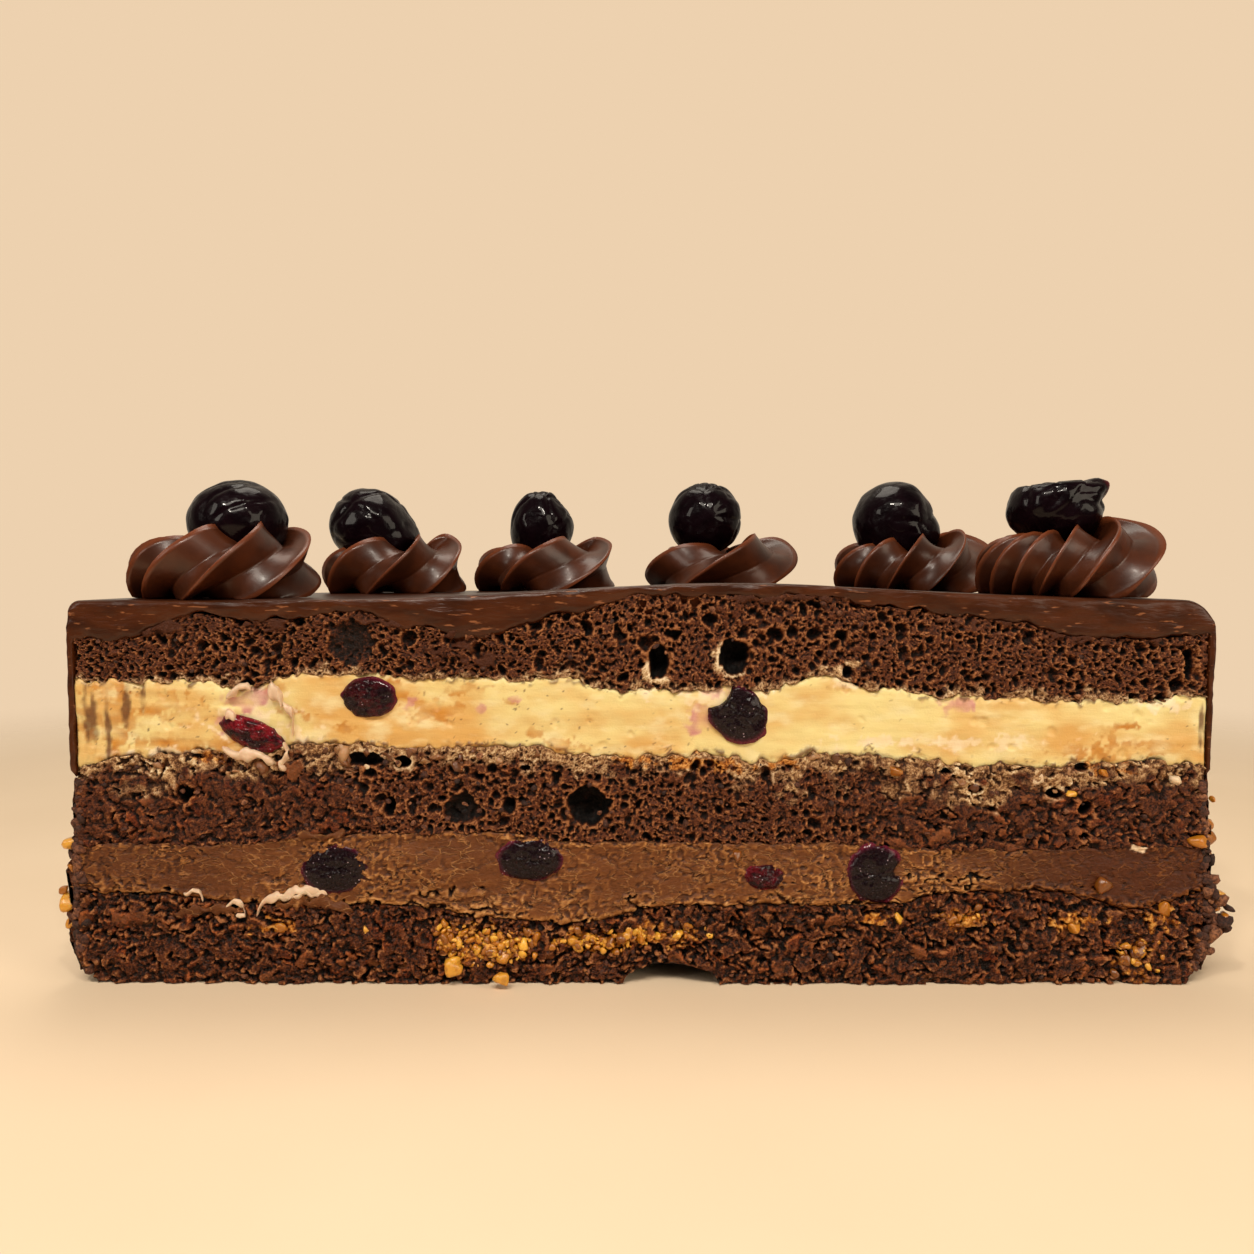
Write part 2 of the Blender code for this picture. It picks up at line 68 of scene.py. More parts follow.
FLOOR_LINE = [(-112, 0.0), (112, 0.0)]
BASE_TOP = [(-112, 18), (-94, 17.2), (-73, 15.4), (-46, 15.2), (-30, 12.6), (-14, 11.4), (8, 15.2),
            (48, 15.2), (60, 17.4), (78, 18), (95, 14.4), (112, 18)]
MOUSSE_TOP = [(-112, 27), (-80, 27.2), (-50, 29.3), (-30, 29.3), (-12, 27.6), (30, 27.2), (64, 26),
              (112, 27)]
MIDDLE_TOP = [(-112, 42), (-97, 44), (-84, 45.8), (-76, 43.8), (-66, 46.4), (-27, 46.4), (-8, 44),
              (12, 44.6), (21, 43.3), (40, 44.6), (76, 42.2), (90, 43.2), (112, 42.6)]
CREAM_TOP = [(-112, 59), (-84, 58.4), (-77, 57.3), (-65, 60), (-38, 59.4), (-15, 59), (-6, 57.2),
             (24, 57.2), (36, 60), (44, 57), (64, 55.7), (88, 54.7), (112, 56)]
SPONGE_TOP = [(-112, 66.7), (-97, 68), (-86, 71.8), (-73, 70.4), (-56, 72.2), (-40, 69), (-27, 68.8),
              (-13, 72.2), (0, 75.4), (38, 75.4), (44, 72.8), (56, 72.6), (70, 70.3), (84, 67.3),
              (97, 66.9), (112, 68.3)]
LEVELS = {"floor": 0.0, "base": 15.5, "mousse": 27.5, "middle": 44.0, "cream": 57.5, "top": 71.5}

# Cherries in the cut: (x, z, width, height, tilt in degrees)
CUT_CHERRIES = {
    "cream_cherry_1": (-74.7, 48.6, 12.6, 5.6, 22),
    "cream_cherry_2": (-52.3, 55.6, 10.6, 8.0, 0),
    "cream_cherry_3": (18.6, 52.6, 12.4, 10.4, 30),
    "mousse_cherry_1": (-59.0, 22.4, 13.4, 9.6, 0),
    "mousse_cherry_2": (-21.4, 24.2, 12.8, 8.6, 0),
    "mousse_cherry_3": (23.9, 20.9, 8.0, 5.2, 0),
    "mousse_cherry_4": (45.3, 21.4, 10.8, 11.6, 0),
}
CUT_CHERRY_PROUD = 1.6

# Swirls: (angle, ring radius, swirl radius, height, start angle, turns)
SWIRLS = [
    (167.2, 90.0, 19.6, 15.6, 10, 1.22),
    (134.7, 87.5, 18.6, 15.6, 0, 1.18),
    (106.5, 90.0, 19.8, 15.6, -12, 1.2),
    (76.1, 89.2, 20.4, 15.6, 2, 1.2),
    (43.0, 89.6, 19.6, 16.4, 12, 1.2),
    (12.6, 90.2, 19.4, 17.4, 0, 1.25),
]
# Cherries on the swirls: (shift x, shift y, centre above the glaze, width, height, lean)
TOP_CHERRIES = [
    (4.4, -1.0, 15.8, 20.4, 17.2, 0),
    (-4.4, 0.0, 16.2, 21.4, 19.0, 14),
    (0.0, 0.0, 17.2, 16.6, 20.4, 8),
    (-2.9, 0.0, 18.8, 20.2, 19.8, 4),
    (-1.6, 0.0, 16.6, 21.8, 20.8, 16),
    (-1.5, 0.0, 18.2, 19.6, 15.6, -4),
]

# %% [markdown]
# ## Camera
# The photograph was taken close up, from just under the top of the cake and a few degrees down. The lens
# comes from how much nearer things look larger: the cut face is 205 mm from the camera.

# %% Camera
CAMERA_AHEAD = 205.0
CAMERA_X, CAMERA_Z = -2.7, 80.1
CAMERA_DOWN = 3.04
LENS, SENSOR = 30.8, 36.0

camera = bpy.data.objects.new("camera", bpy.data.cameras.new("camera"))
scene.collection.objects.link(camera)
camera.data.lens = LENS
camera.data.sensor_width = SENSOR
camera.data.clip_start = 0.01
camera.location = (CAMERA_X * MM, (CUT_Y - CAMERA_AHEAD) * MM, CAMERA_Z * MM)
camera.rotation_euler = (math.radians(90 - CAMERA_DOWN), 0, 0)
scene.camera = camera
scene.view_settings.view_transform = "Standard"
print("camera:", [round(v, 4) for v in camera.location])

# %% [markdown]
# ## Finishes
# Each finish is a node material. A small builder keeps the nodes short to write: every method adds one node
# and returns its output. Textures are read in the object's own coordinates, so they stay where they are on
# the cake from any side. Facts are numbers stored on the mesh's points, such as how deep a point is in a
# pore.

# %% The finish builder
def tone(red, green, blue):
    """A colour as a screen shows it, from 0 to 255, turned into the light values that nodes use."""
    parts = [c / 255 for c in (red, green, blue)]
    return tuple(c / 12.92 if c <= 0.04045 else ((c + 0.055) / 1.055) ** 2.4 for c in parts) + (1.0,)


# A mix node has one set of sockets for each kind of data: these are its colour sockets
MIX_COLOURS_IN, MIX_COLOUR_OUT = (6, 7), 2


class Finish:
    """A material in the making."""

    def __init__(self, name, roughness=0.5, **sockets):
        self.material = bpy.data.materials.new(name)
        self.material.use_nodes = True
        self.tree = self.material.node_tree
        self.shader = self.tree.nodes["Principled BSDF"]
        self.shader.inputs["Roughness"].default_value = roughness
        for socket, value in sockets.items():
            self.shader.inputs[socket.replace("_", " ")].default_value = value
        self.place = self.tree.nodes.new("ShaderNodeTexCoord").outputs["Object"]

    def put(self, socket, value):
        """Sets an input of a node, or links an output to it."""
        if isinstance(value, bpy.types.NodeSocket):
            self.tree.links.new(value, socket)
        else:
            socket.default_value = value

    def set(self, name, value):
        """Sets one of the shader's own inputs."""
        self.put(self.shader.inputs[name], value)

    def fact(self, name):
        """A number that is stored on the mesh's points."""
        node = self.tree.nodes.new("ShaderNodeAttribute")
        node.attribute_name = name
        return node.outputs["Fac"]

    def stretched(self, stretch):
        """The object's own coordinates, with patterns drawn out by these factors along x, y and z."""
        node = self.tree.nodes.new("ShaderNodeMapping")
        self.put(node.inputs["Vector"], self.place)
        node.inputs["Scale"].default_value = [1 / s for s in stretch]
        return node.outputs["Vector"]

    def grain(self, size, detail=2.0, stretch=(1, 1, 1)):
        """Soft noise whose hills are about this many millimetres across, from 0 to 1."""
        node = self.tree.nodes.new("ShaderNodeTexNoise")
        self.put(node.inputs["Vector"], self.stretched(stretch))
        node.inputs["Scale"].default_value = 1 / (size * MM)
        node.inputs["Detail"].default_value = detail
        return node.outputs["Fac"]

    def pushed(self, place, amount):
        """A place pushed about by noise, by up to this many millimetres, so that lines in it wander."""
        noise = self.tree.nodes.new("ShaderNodeTexNoise")
        self.put(noise.inputs["Vector"], place)
        noise.inputs["Scale"].default_value = 0.45 / (amount * MM)
        node = self.tree.nodes.new("ShaderNodeVectorMath")
        node.operation = "MULTIPLY_ADD"
        self.put(node.inputs[0], noise.outputs["Color"])
        node.inputs[1].default_value = [2 * amount * MM] * 3
        self.put(node.inputs[2], place)
        return node.outputs["Vector"]

    def cells(self, size, feature="F1", stretch=(1, 1, 1), wander=0.0):
        """Distance within a scatter of cells about this many millimetres across."""
        node = self.tree.nodes.new("ShaderNodeTexVoronoi")
        node.feature = feature
        place = self.stretched(stretch)
        self.put(node.inputs["Vector"], self.pushed(place, wander) if wander else place)
        node.inputs["Scale"].default_value = 1 / (size * MM)
        return node.outputs["Distance"]

    def math(self, operation, first, second):
        """One calculation with two numbers."""
        node = self.tree.nodes.new("ShaderNodeMath")
        node.operation = operation
        self.put(node.inputs[0], first)
        self.put(node.inputs[1], second)
        return node.outputs[0]

    def between(self, value, low, high, out_low=0.0, out_high=1.0):
        """Takes value from low..high to out_low..out_high, with soft ends."""
        node = self.tree.nodes.new("ShaderNodeMapRange")
        node.interpolation_type = "SMOOTHSTEP"
        for name, number in zip(("Value", "From Min", "From Max", "To Min", "To Max"),
                                (value, low, high, out_low, out_high)):
            self.put(node.inputs[name], number)
        return node.outputs["Result"]

    def ramp(self, value, *stops):
        """A colour for a value, from stops of (place, colour)."""
        node = self.tree.nodes.new("ShaderNodeValToRGB")
        self.put(node.inputs["Fac"], value)
        marks = node.color_ramp.elements
        while len(marks) < len(stops):
            marks.new(0.5)
        for mark, (place, colour) in zip(marks, stops):
            mark.position = place
            mark.color = colour
        return node.outputs["Color"]

    def mix(self, share, first, second, blend="MIX"):
        """The first colour with this share of the second one in it."""
        node = self.tree.nodes.new("ShaderNodeMix")
        node.data_type = "RGBA"
        node.blend_type = blend
        self.put(node.inputs[0], share)
        for socket, colour in zip(MIX_COLOURS_IN, (first, second)):
            self.put(node.inputs[socket], colour)
        return node.outputs[MIX_COLOUR_OUT]

    def bump(self, height, depth, over=None):
        """Tilts the shading by a height from 0 to 1 that stands for this many millimetres."""
        node = self.tree.nodes.new("ShaderNodeBump")
        node.inputs["Distance"].default_value = depth * MM
        self.put(node.inputs["Height"], height)
        if over is not None:
            self.put(node.inputs["Normal"], over)
        return node.outputs["Normal"]


# %% [markdown]
# ## Floor and light
# The floor is a plain pale disc that fades out further off, so no edge shows behind the cake. The
# photograph's light is soft and warm. A broad lamp stands high in front, one stands to the right, and a
# weaker one to the left. Two small lamps give the cherries their sharp glints, a lamp overhead lights the
# top, and a bright wall behind shines on whatever looks up or back.

# %% Floor and light
FLOOR_RADIUS = 900.0
FLOOR_FADE = (230.0, 520.0)
BACKDROP = tone(237, 209, 175)
FLOOR_SEGMENTS, FLOOR_GAP = 96, 0.2
ROOM_FRONT, ROOM_BACK = 0.07, 0.6
ROOM_CHANGES = (-0.1, 0.7)
ROOM_TINT = (1.0, 0.85, 0.66)


def floor_finish():
    made = Finish("pale_floor", roughness=0.85)
    made.set("Base Color", made.mix(made.grain(60, 3), tone(236, 213, 184), tone(228, 204, 174)))
    tree = made.tree
    distance = tree.nodes.new("ShaderNodeVectorMath")
    distance.operation = "LENGTH"
    made.put(distance.inputs[0], made.place)
    fade = made.between(distance.outputs["Value"], FLOOR_FADE[0] * MM, FLOOR_FADE[1] * MM)
    clear = tree.nodes.new("ShaderNodeBsdfTransparent")
    both = tree.nodes.new("ShaderNodeMixShader")
    made.put(both.inputs[0], fade)
    made.put(both.inputs[1], made.shader.outputs[0])
    made.put(both.inputs[2], clear.outputs[0])
    made.put(tree.nodes["Material Output"].inputs["Surface"], both.outputs[0])
    return made.material


def build_room():
    """Light from all round, brighter behind the cake, and the plain backdrop that the camera sees."""
    world = bpy.data.worlds.new("room")
    scene.world = world
    world.use_nodes = True
    tree = world.node_tree
    tree.nodes.clear()
    facing = tree.nodes.new("ShaderNodeTexCoord")
    split = tree.nodes.new("ShaderNodeSeparateXYZ")
    strength = tree.nodes.new("ShaderNodeMapRange")
    tree.links.new(facing.outputs["Generated"], split.inputs[0])
    tree.links.new(split.outputs["Y"], strength.inputs["Value"])
    limits = (*ROOM_CHANGES, ROOM_FRONT, ROOM_BACK)
    for name, number in zip(("From Min", "From Max", "To Min", "To Max"), limits):
        strength.inputs[name].default_value = number
    light = tree.nodes.new("ShaderNodeBackground")
    light.inputs["Color"].default_value = (*ROOM_TINT, 1)
    tree.links.new(strength.outputs["Result"], light.inputs["Strength"])
    seen = tree.nodes.new("ShaderNodeBackground")
    seen.inputs["Color"].default_value = BACKDROP
    rays = tree.nodes.new("ShaderNodeLightPath")
    both = tree.nodes.new("ShaderNodeMixShader")
    out = tree.nodes.new("ShaderNodeOutputWorld")
    tree.links.new(rays.outputs["Is Camera Ray"], both.inputs[0])
    tree.links.new(light.outputs[0], both.inputs[1])
    tree.links.new(seen.outputs[0], both.inputs[2])
    tree.links.new(both.outputs[0], out.inputs["Surface"])


def lamp(name, place, target, size, power, colour):
    """A soft square lamp that looks at a target, all in millimetres, with its power in watts."""
    data = bpy.data.lights.new(name, "AREA")
    data.shape = "RECTANGLE"
    data.size, data.size_y = (s * MM for s in size)
    data.energy = power
    data.color = colour
    made = bpy.data.objects.new(name, data)
    scene.collection.objects.link(made)
    made.location = Vector(place) * MM
    made.rotation_euler = (Vector(target) - Vector(place)).to_track_quat("-Z", "Y").to_euler()
    made.visible_camera = False


floor_mesh = bmesh.new()
bmesh.ops.create_circle(floor_mesh, cap_ends=True, segments=FLOOR_SEGMENTS, radius=FLOOR_RADIUS * MM)
floor = bpy.data.objects.new("floor", bpy.data.meshes.new("floor"))
floor_mesh.to_mesh(floor.data)
floor_mesh.free()
scene.collection.objects.link(floor)
floor.data.materials.append(floor_finish())
floor.location.z = -FLOOR_GAP * MM
build_room()
AIM = (0, CUT_Y + 20, 50)
LAMP_TINT, SIDE_TINT = (1.0, 0.92, 0.80), (1.0, 0.88, 0.70)
# Lamps: name, place, size, power in watts, tint
LAMPS = [
    ("front_top", (-60, -560, 640), (300, 170), 2.2, LAMP_TINT),
    ("right_side", (560, -470, 330), (420, 420), 2.4, SIDE_TINT),
    ("left_window", (-560, -420, 380), (170, 300), 1.0, LAMP_TINT),
    ("glint_left", (-190, -430, 560), (50, 36), 1.1, LAMP_TINT),
    ("glint_right", (130, -470, 590), (46, 40), 0.9, LAMP_TINT),
    ("overhead", (-60, 160, 640), (300, 260), 1.4, LAMP_TINT),
]
for name, place, size, power, tint in LAMPS:
    lamp(name, place, AIM, size, power, tint)

# %% [markdown]
# ## Random relief
# Crumb, cream and mousse get their relief from seeded random patterns worked out at every point of a mesh.
# Grain is smooth hills. Cells scatter points and find the nearest: a hollow round each makes pores, and a
# tilted facet round each makes crumbs. In the reliefs further down, a number before a pattern is how high it
# rises in millimetres, and the size in it is how wide. The same seed always gives the same cake.

# %% Grain and cells
LATTICE, ROUND_LATTICE = 256, 40
CRUMB_TILT = 0.9
PORE_WALL = 0.13


def smooth(value):
    """A soft step from 0 to 1 while the value goes from 0 to 1."""
    value = np.clip(value, 0.0, 1.0)
    return value * value * (3 - 2 * value)


def grain(x, z, size, seed, stretch=1.0):
    """Smooth random hills about this many millimetres across, from -1 to 1, stretched along x."""
    lattice = np.random.default_rng(seed).uniform(-1, 1, (LATTICE, LATTICE))
    u, v = np.asarray(x) / (size * stretch) + 1000.3, np.asarray(z) / size + 1000.7
    i, k = np.floor(u).astype(int), np.floor(v).astype(int)
    fu, fv = smooth(u - i), smooth(v - k)
    i0, i1, k0, k1 = i % LATTICE, (i + 1) % LATTICE, k % LATTICE, (k + 1) % LATTICE
    low = lattice[i0, k0] * (1 - fu) + lattice[i1, k0] * fu
    high = lattice[i0, k1] * (1 - fu) + lattice[i1, k1] * fu
    return low * (1 - fv) + high * fv


def grain_round(points, size, seed):
    """The same hills in space, at points in rows of x, y, z."""
    lattice = np.random.default_rng(seed).uniform(-1, 1, (ROUND_LATTICE, ROUND_LATTICE, ROUND_LATTICE))
    place = points / size + 500.5
    first = np.floor(place).astype(int)
    part = smooth(place - first)
    total = np.zeros(points.shape[:-1])
    for corner in np.ndindex(2, 2, 2):
        at = [(first[..., a] + corner[a]) % ROUND_LATTICE for a in range(3)]
        weight = np.ones(points.shape[:-1])
        for a in range(3):
            weight = weight * (part[..., a] if corner[a] else 1 - part[..., a])
        total += weight * lattice[at[0], at[1], at[2]]
    return total


def cells(x, z, size, seed):
    """The nearest of points scattered about a size apart.

    Gives the way to it, its own four random numbers, and how much nearer it is than the next one.
    """
    chance = np.random.default_rng(seed)
    shift = chance.random((LATTICE, LATTICE, 2))
    own = chance.random((LATTICE, LATTICE, 4))
    u, v = x / size + 1000.0, z / size + 1000.0
    i, k = np.floor(u).astype(int), np.floor(v).astype(int)
    nearest = np.full(u.shape, 9.0)
    second = np.full(u.shape, 9.0)
    du, dv = np.zeros(u.shape), np.zeros(u.shape)
    mine = np.zeros(u.shape + (4,))
    for di in (-1, 0, 1):
        for dk in (-1, 0, 1):
            a, b = (i + di) % LATTICE, (k + dk) % LATTICE
            ru, rv = u - (i + di + shift[a, b, 0]), v - (k + dk + shift[a, b, 1])
            away = np.hypot(ru, rv)
            closer = away < nearest
            second = np.where(closer, nearest, np.minimum(second, away))
            du, dv = np.where(closer, ru, du), np.where(closer, rv, dv)
            mine = np.where(closer[..., None], own[a, b], mine)
            nearest = np.where(closer, away, nearest)
    return du * size, dv * size, mine, (second - nearest) * size


def pores(x, z, size, seed, share, deep):
    """Rounded hollows in a share of the cells: their depth, and the thin wall round each from 0 to 1."""
    du, dv, own, _ = cells(x, z, size, seed)
    turn = own[..., 0] * math.pi
    radius = size * (0.22 + 0.24 * own[..., 1])
    along_it = (du * np.cos(turn) + dv * np.sin(turn)) / radius
    across_it = (dv * np.cos(turn) - du * np.sin(turn)) / (radius * (0.6 + 0.4 * own[..., 2]))
    away = np.hypot(along_it, across_it)
    chosen = own[..., 3] < share
    cup = np.sqrt(np.clip(1 - away ** 2, 0, 1))
    wall = np.exp(-((away - 1.1) * radius / PORE_WALL) ** 2)
    return np.where(chosen, deep * radius / (0.4 * size) * cup, 0), np.where(chosen, wall, 0)


def crumbs(x, z, size, seed):
    """Small tilted facets with cracks between them, from about -1 to 1."""
    du, dv, own, gap = cells(x, z, size, seed)
    slope = ((own[..., 0] - 0.5) * du + (own[..., 1] - 0.5) * dv) / size * 2 * CRUMB_TILT
    return slope + (own[..., 2] - 0.5) * 0.9 - 0.6 * (1 - smooth(gap / (0.22 * size)))


def flakes(x, z, sizes, seed, rise):
    """Thin torn plates that lie over each other: their height, from 0 to rise, and each plate's tint."""
    height, tint = np.zeros(x.shape), np.full(x.shape, 0.5)
    for n, size in enumerate(sizes):
        du, dv, own, _ = cells(x + 0.35 * size * grain(x, z, 0.8 * size, seed + 50 + n), z, size, seed + n)
        turn = (own[..., 0] - 0.5) * 2.4
        along_it = (du * np.cos(turn) + dv * np.sin(turn)) / size
        across_it = (dv * np.cos(turn) - du * np.sin(turn)) / size
        inside = (along_it / 0.8) ** 2 + (across_it / 0.36) ** 2 < 1
        level = own[..., 2] + 0.9 * (own[..., 1] - 0.5) * along_it + 1.5 * (own[..., 3] - 0.35) * across_it
        higher = inside & (level * rise > height)
        height = np.where(higher, level * rise, height)
        tint = np.where(higher, own[..., 3], tint)
    return np.clip(height, 0, rise), tint


def around(field, reach):
    """The mean of a grid's values within so many points to every side."""
    for axis in (0, 1):
        padded = np.pad(field, [(reach + 1, reach) if a == axis else (0, 0) for a in (0, 1)], mode="edge")
        total = np.cumsum(padded, axis=axis)
        width = 2 * reach + 1
        field = (np.take(total, range(width, total.shape[axis]), axis)
                 - np.take(total, range(0, total.shape[axis] - width), axis)) / width
    return field


def patches(x, z, places, seed, ragged):
    """Soft stains at places of (x, z, width, height), from 0 to 1, with ragged edges."""
    total = np.zeros(x.shape)
    edge = ragged * grain(x, z, 1.6, seed) + 0.6 * ragged * grain(x, z, 0.6, seed + 1)
    for px, pz, width, height in places:
        away = np.hypot((x - px) / (0.5 * width), (z - pz) / (0.5 * height))
        total = np.maximum(total, smooth((1 - away + edge) / 0.5))
    return total


# %% [markdown]
# ## Layers
# Each layer is one closed mesh. Its cut face is a fine grid between the line below it and the line above
# it, and its hidden top, bottom and round side are coarse: a fan of triangles joins every few fine edges to
# one coarse point. That keeps the points where the eye goes.

# %% The lines between the layers
def along(outline, x):
    """The height of a smooth line through an outline's points, at every x."""
    xs, zs = (np.array(values, float) for values in zip(*outline))
    i = np.clip(np.searchsorted(xs, x) - 1, 0, len(xs) - 2)
    return zs[i] + (zs[i + 1] - zs[i]) * smooth((x - xs[i]) / (xs[i + 1] - xs[i]))


def seam(outline, level, ragged, seed):
    """Where two layers meet: the outline, crumbly and uneven on the cut, settles to a level behind it."""
    def height(x, depth):
        uneven = ragged * (0.6 * grain(x, 0 * x, 2.4, seed) + 0.4 * grain(x, 0 * x, 0.9, seed + 1))
        line = along(outline, x) + uneven * (1 - smooth(depth / 3))
        return level + (line - level) * (1 - smooth(depth / SETTLES_WITHIN))
    return height


def reach_at(z):
    """The layers' radius at a height: the foot is drawn in."""
    return LAYER_RADIUS - FOOT_INSET * (1 - np.clip(z / FOOT_HEIGHT, 0, 1))


floor_seam = seam(FLOOR_LINE, LEVELS["floor"], 0.0, 1)
base_seam = seam(BASE_TOP, LEVELS["base"], 0.7, 21)
mousse_seam = seam(MOUSSE_TOP, LEVELS["mousse"], 0.8, 22)
middle_seam = seam(MIDDLE_TOP, LEVELS["middle"], 1.3, 23)
cream_seam = seam(CREAM_TOP, LEVELS["cream"], 1.2, 24)
sponge_seam = seam(SPONGE_TOP, LEVELS["top"], 0.5, 25)


# %% [markdown]
# ## Making a piece
# Every piece is a mesh of points worked out in millimetres. The helpers join grids, rings and uneven rows of
# points with faces, and one function makes the object and says what it rides on and its solid.

# %% Making a mesh
def grid_faces(columns, rows):
    """Quads between the points of a grid that is stored column by column."""
    i, k = np.meshgrid(np.arange(columns - 1), np.arange(rows - 1), indexing="ij")
    a = i * rows + k
    return np.stack([a, a + rows, a + rows + 1, a + 1], axis=-1).reshape(-1, 4).tolist()


def ring_faces(rings, sides, flip=False):
    """Quads between closed rings of points that are stored ring by ring."""
    i, j = np.meshgrid(np.arange(rings - 1), np.arange(sides), indexing="ij")
    a, b = i * sides + j, i * sides + (j + 1) % sides
    corners = [a, a + sides, b + sides, b] if flip else [a, b, b + sides, a + sides]
    return np.stack(corners, axis=-1).reshape(-1, 4).tolist()


def zip_lines(left, right):
    """Triangles between two rows of points that run the same way."""
    faces = []
    left_steps, right_steps = len(left) - 1, len(right) - 1
    i = j = 0
    while i < left_steps or j < right_steps:
        left_is_behind = (i + 1) * right_steps <= (j + 1) * left_steps
        if j == right_steps or (i < left_steps and left_is_behind):
            faces.append((left[i], right[j], left[i + 1]))
            i += 1
        else:
            faces.append((left[i], right[j], right[j + 1]))
            j += 1
    return faces


COUNTS = {}


def piece(name, points, faces, finish, stands_for=(), facts=None):
    """A named mesh that rides on the cake, from points in millimetres."""
    mesh = bpy.data.meshes.new(name)
    mesh.from_pydata((np.asarray(points) * MM).tolist(), [], faces)
    for fact, values in (facts or {}).items():
        stored = mesh.attributes.new(fact, "FLOAT", "POINT")
        stored.data.foreach_set("value", np.asarray(values, np.float32).ravel())
    mesh.shade_smooth()
    mesh.materials.append(finish)
    made = bpy.data.objects.new(name, mesh)
    scene.collection.objects.link(made)
    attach(made, "root")
    if stands_for:
        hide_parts(*stands_for)
    mesh.calc_loop_triangles()
    COUNTS[name] = len(mesh.loop_triangles)
    print(f"{name}: {COUNTS[name]} triangles")
    return made


# In metres, as meshes are
WELD_WITHIN = 1e-6


def turn_outwards(made, weld=False):
    """Turns the faces of a closed shell outwards, and can first join points that lie on each other."""
    shell = bmesh.new()
    shell.from_mesh(made.data)
    if weld:
        bmesh.ops.remove_doubles(shell, verts=shell.verts, dist=WELD_WITHIN)
    bmesh.ops.recalc_face_normals(shell, faces=shell.faces)
    print(made.name, "open edges:", sum(len(e.link_faces) != 2 for e in shell.edges))
    shell.to_mesh(made.data)
    shell.free()


# %% [markdown]
# ## One closed layer
# The mesh of any layer: its front is the fine grid, pushed in and out by the layer's own relief. Every
# STRIDE columns a coarse chain of points runs back over the top to the round side and forward again below.

# %% One closed layer
STRIDE = 8
# How far back each point of a chain lies, as a share of the way to the round side
BACK_SHARES = (0.05, 0.12, 0.24, 0.4, 0.6, 0.8, 1.0)


def layer_mesh(bottom, top, step, relief):
    """Points, faces and facts of a layer whose cut face has points a step apart.

    relief gives how far each point of the face lies behind the cut, and the facts to store.
    """
    columns = STRIDE * round(2 * LAYER_RADIUS / step / STRIDE) + 1
    across = np.linspace(-1, 1, columns)
    middle = across * LAYER_RADIUS
    low, high = bottom(middle, 0.0), top(middle, 0.0)
    rows = int((high - low).max() / step) + 1
    share = np.linspace(0, 1, rows)[None, :]
    z = low[:, None] + (high - low)[:, None] * share
    x = across[:, None] * reach_at(z)
    behind, facts = relief(x, z)
    points = [np.stack([x, CUT_Y + behind, z], axis=-1).reshape(-1, 3)]
    faces = grid_faces(columns, rows)
    count = columns * rows

    def front(i, k):
        return i * rows + k

    chains = {0: [front(0, k) for k in range(rows - 1, -1, -1)],
              columns - 1: [front(columns - 1, k) for k in range(rows - 1, -1, -1)]}
    for i in range(STRIDE, columns - 1, STRIDE):
        u = across[i]
        back = []
        for surface, shares in ((top, BACK_SHARES), (bottom, BACK_SHARES[::-1])):
            for part in shares:
                rough_z = surface(np.array([u * LAYER_RADIUS]), part * LAYER_RADIUS)[0]
                radius = reach_at(rough_z)
                depth = part * radius * math.sqrt(1 - u * u)
                height = surface(np.array([u * radius]), depth)[0]
                back.append((u * radius, CUT_Y + depth, height))
        points.append(np.array(back))
        chains[i] = [front(i, rows - 1), *range(count, count + len(back)), front(i, 0)]
        count += len(back)
    for i in range(0, columns - 1, STRIDE):
        left, right = chains[i], chains[i + STRIDE]
        upper = [front(i + j, rows - 1) for j in range(STRIDE + 1)]
        lower = [front(i + j, 0) for j in range(STRIDE + 1)]
        faces += [(upper[j], upper[j + 1], left[1]) for j in range(STRIDE)]
        faces += zip_lines(left[1:-1], right[:-1])
        faces.append((left[-2], right[-2], lower[-1]))
        faces += [(left[-2], lower[j + 1], lower[j]) for j in range(STRIDE)]
    extra = count - columns * rows
    facts = {name: np.concatenate([values.ravel(), np.zeros(extra)]) for name, values in facts.items()}
    return np.concatenate(points), faces, facts


def add_layer(name, node, seams, step, relief, finish):
    """Builds a layer between its lower and its upper seam, to dress the solid of the node."""
    points, faces, facts = layer_mesh(*seams, step, relief)
    piece(name, points, faces, finish, (node,), facts)
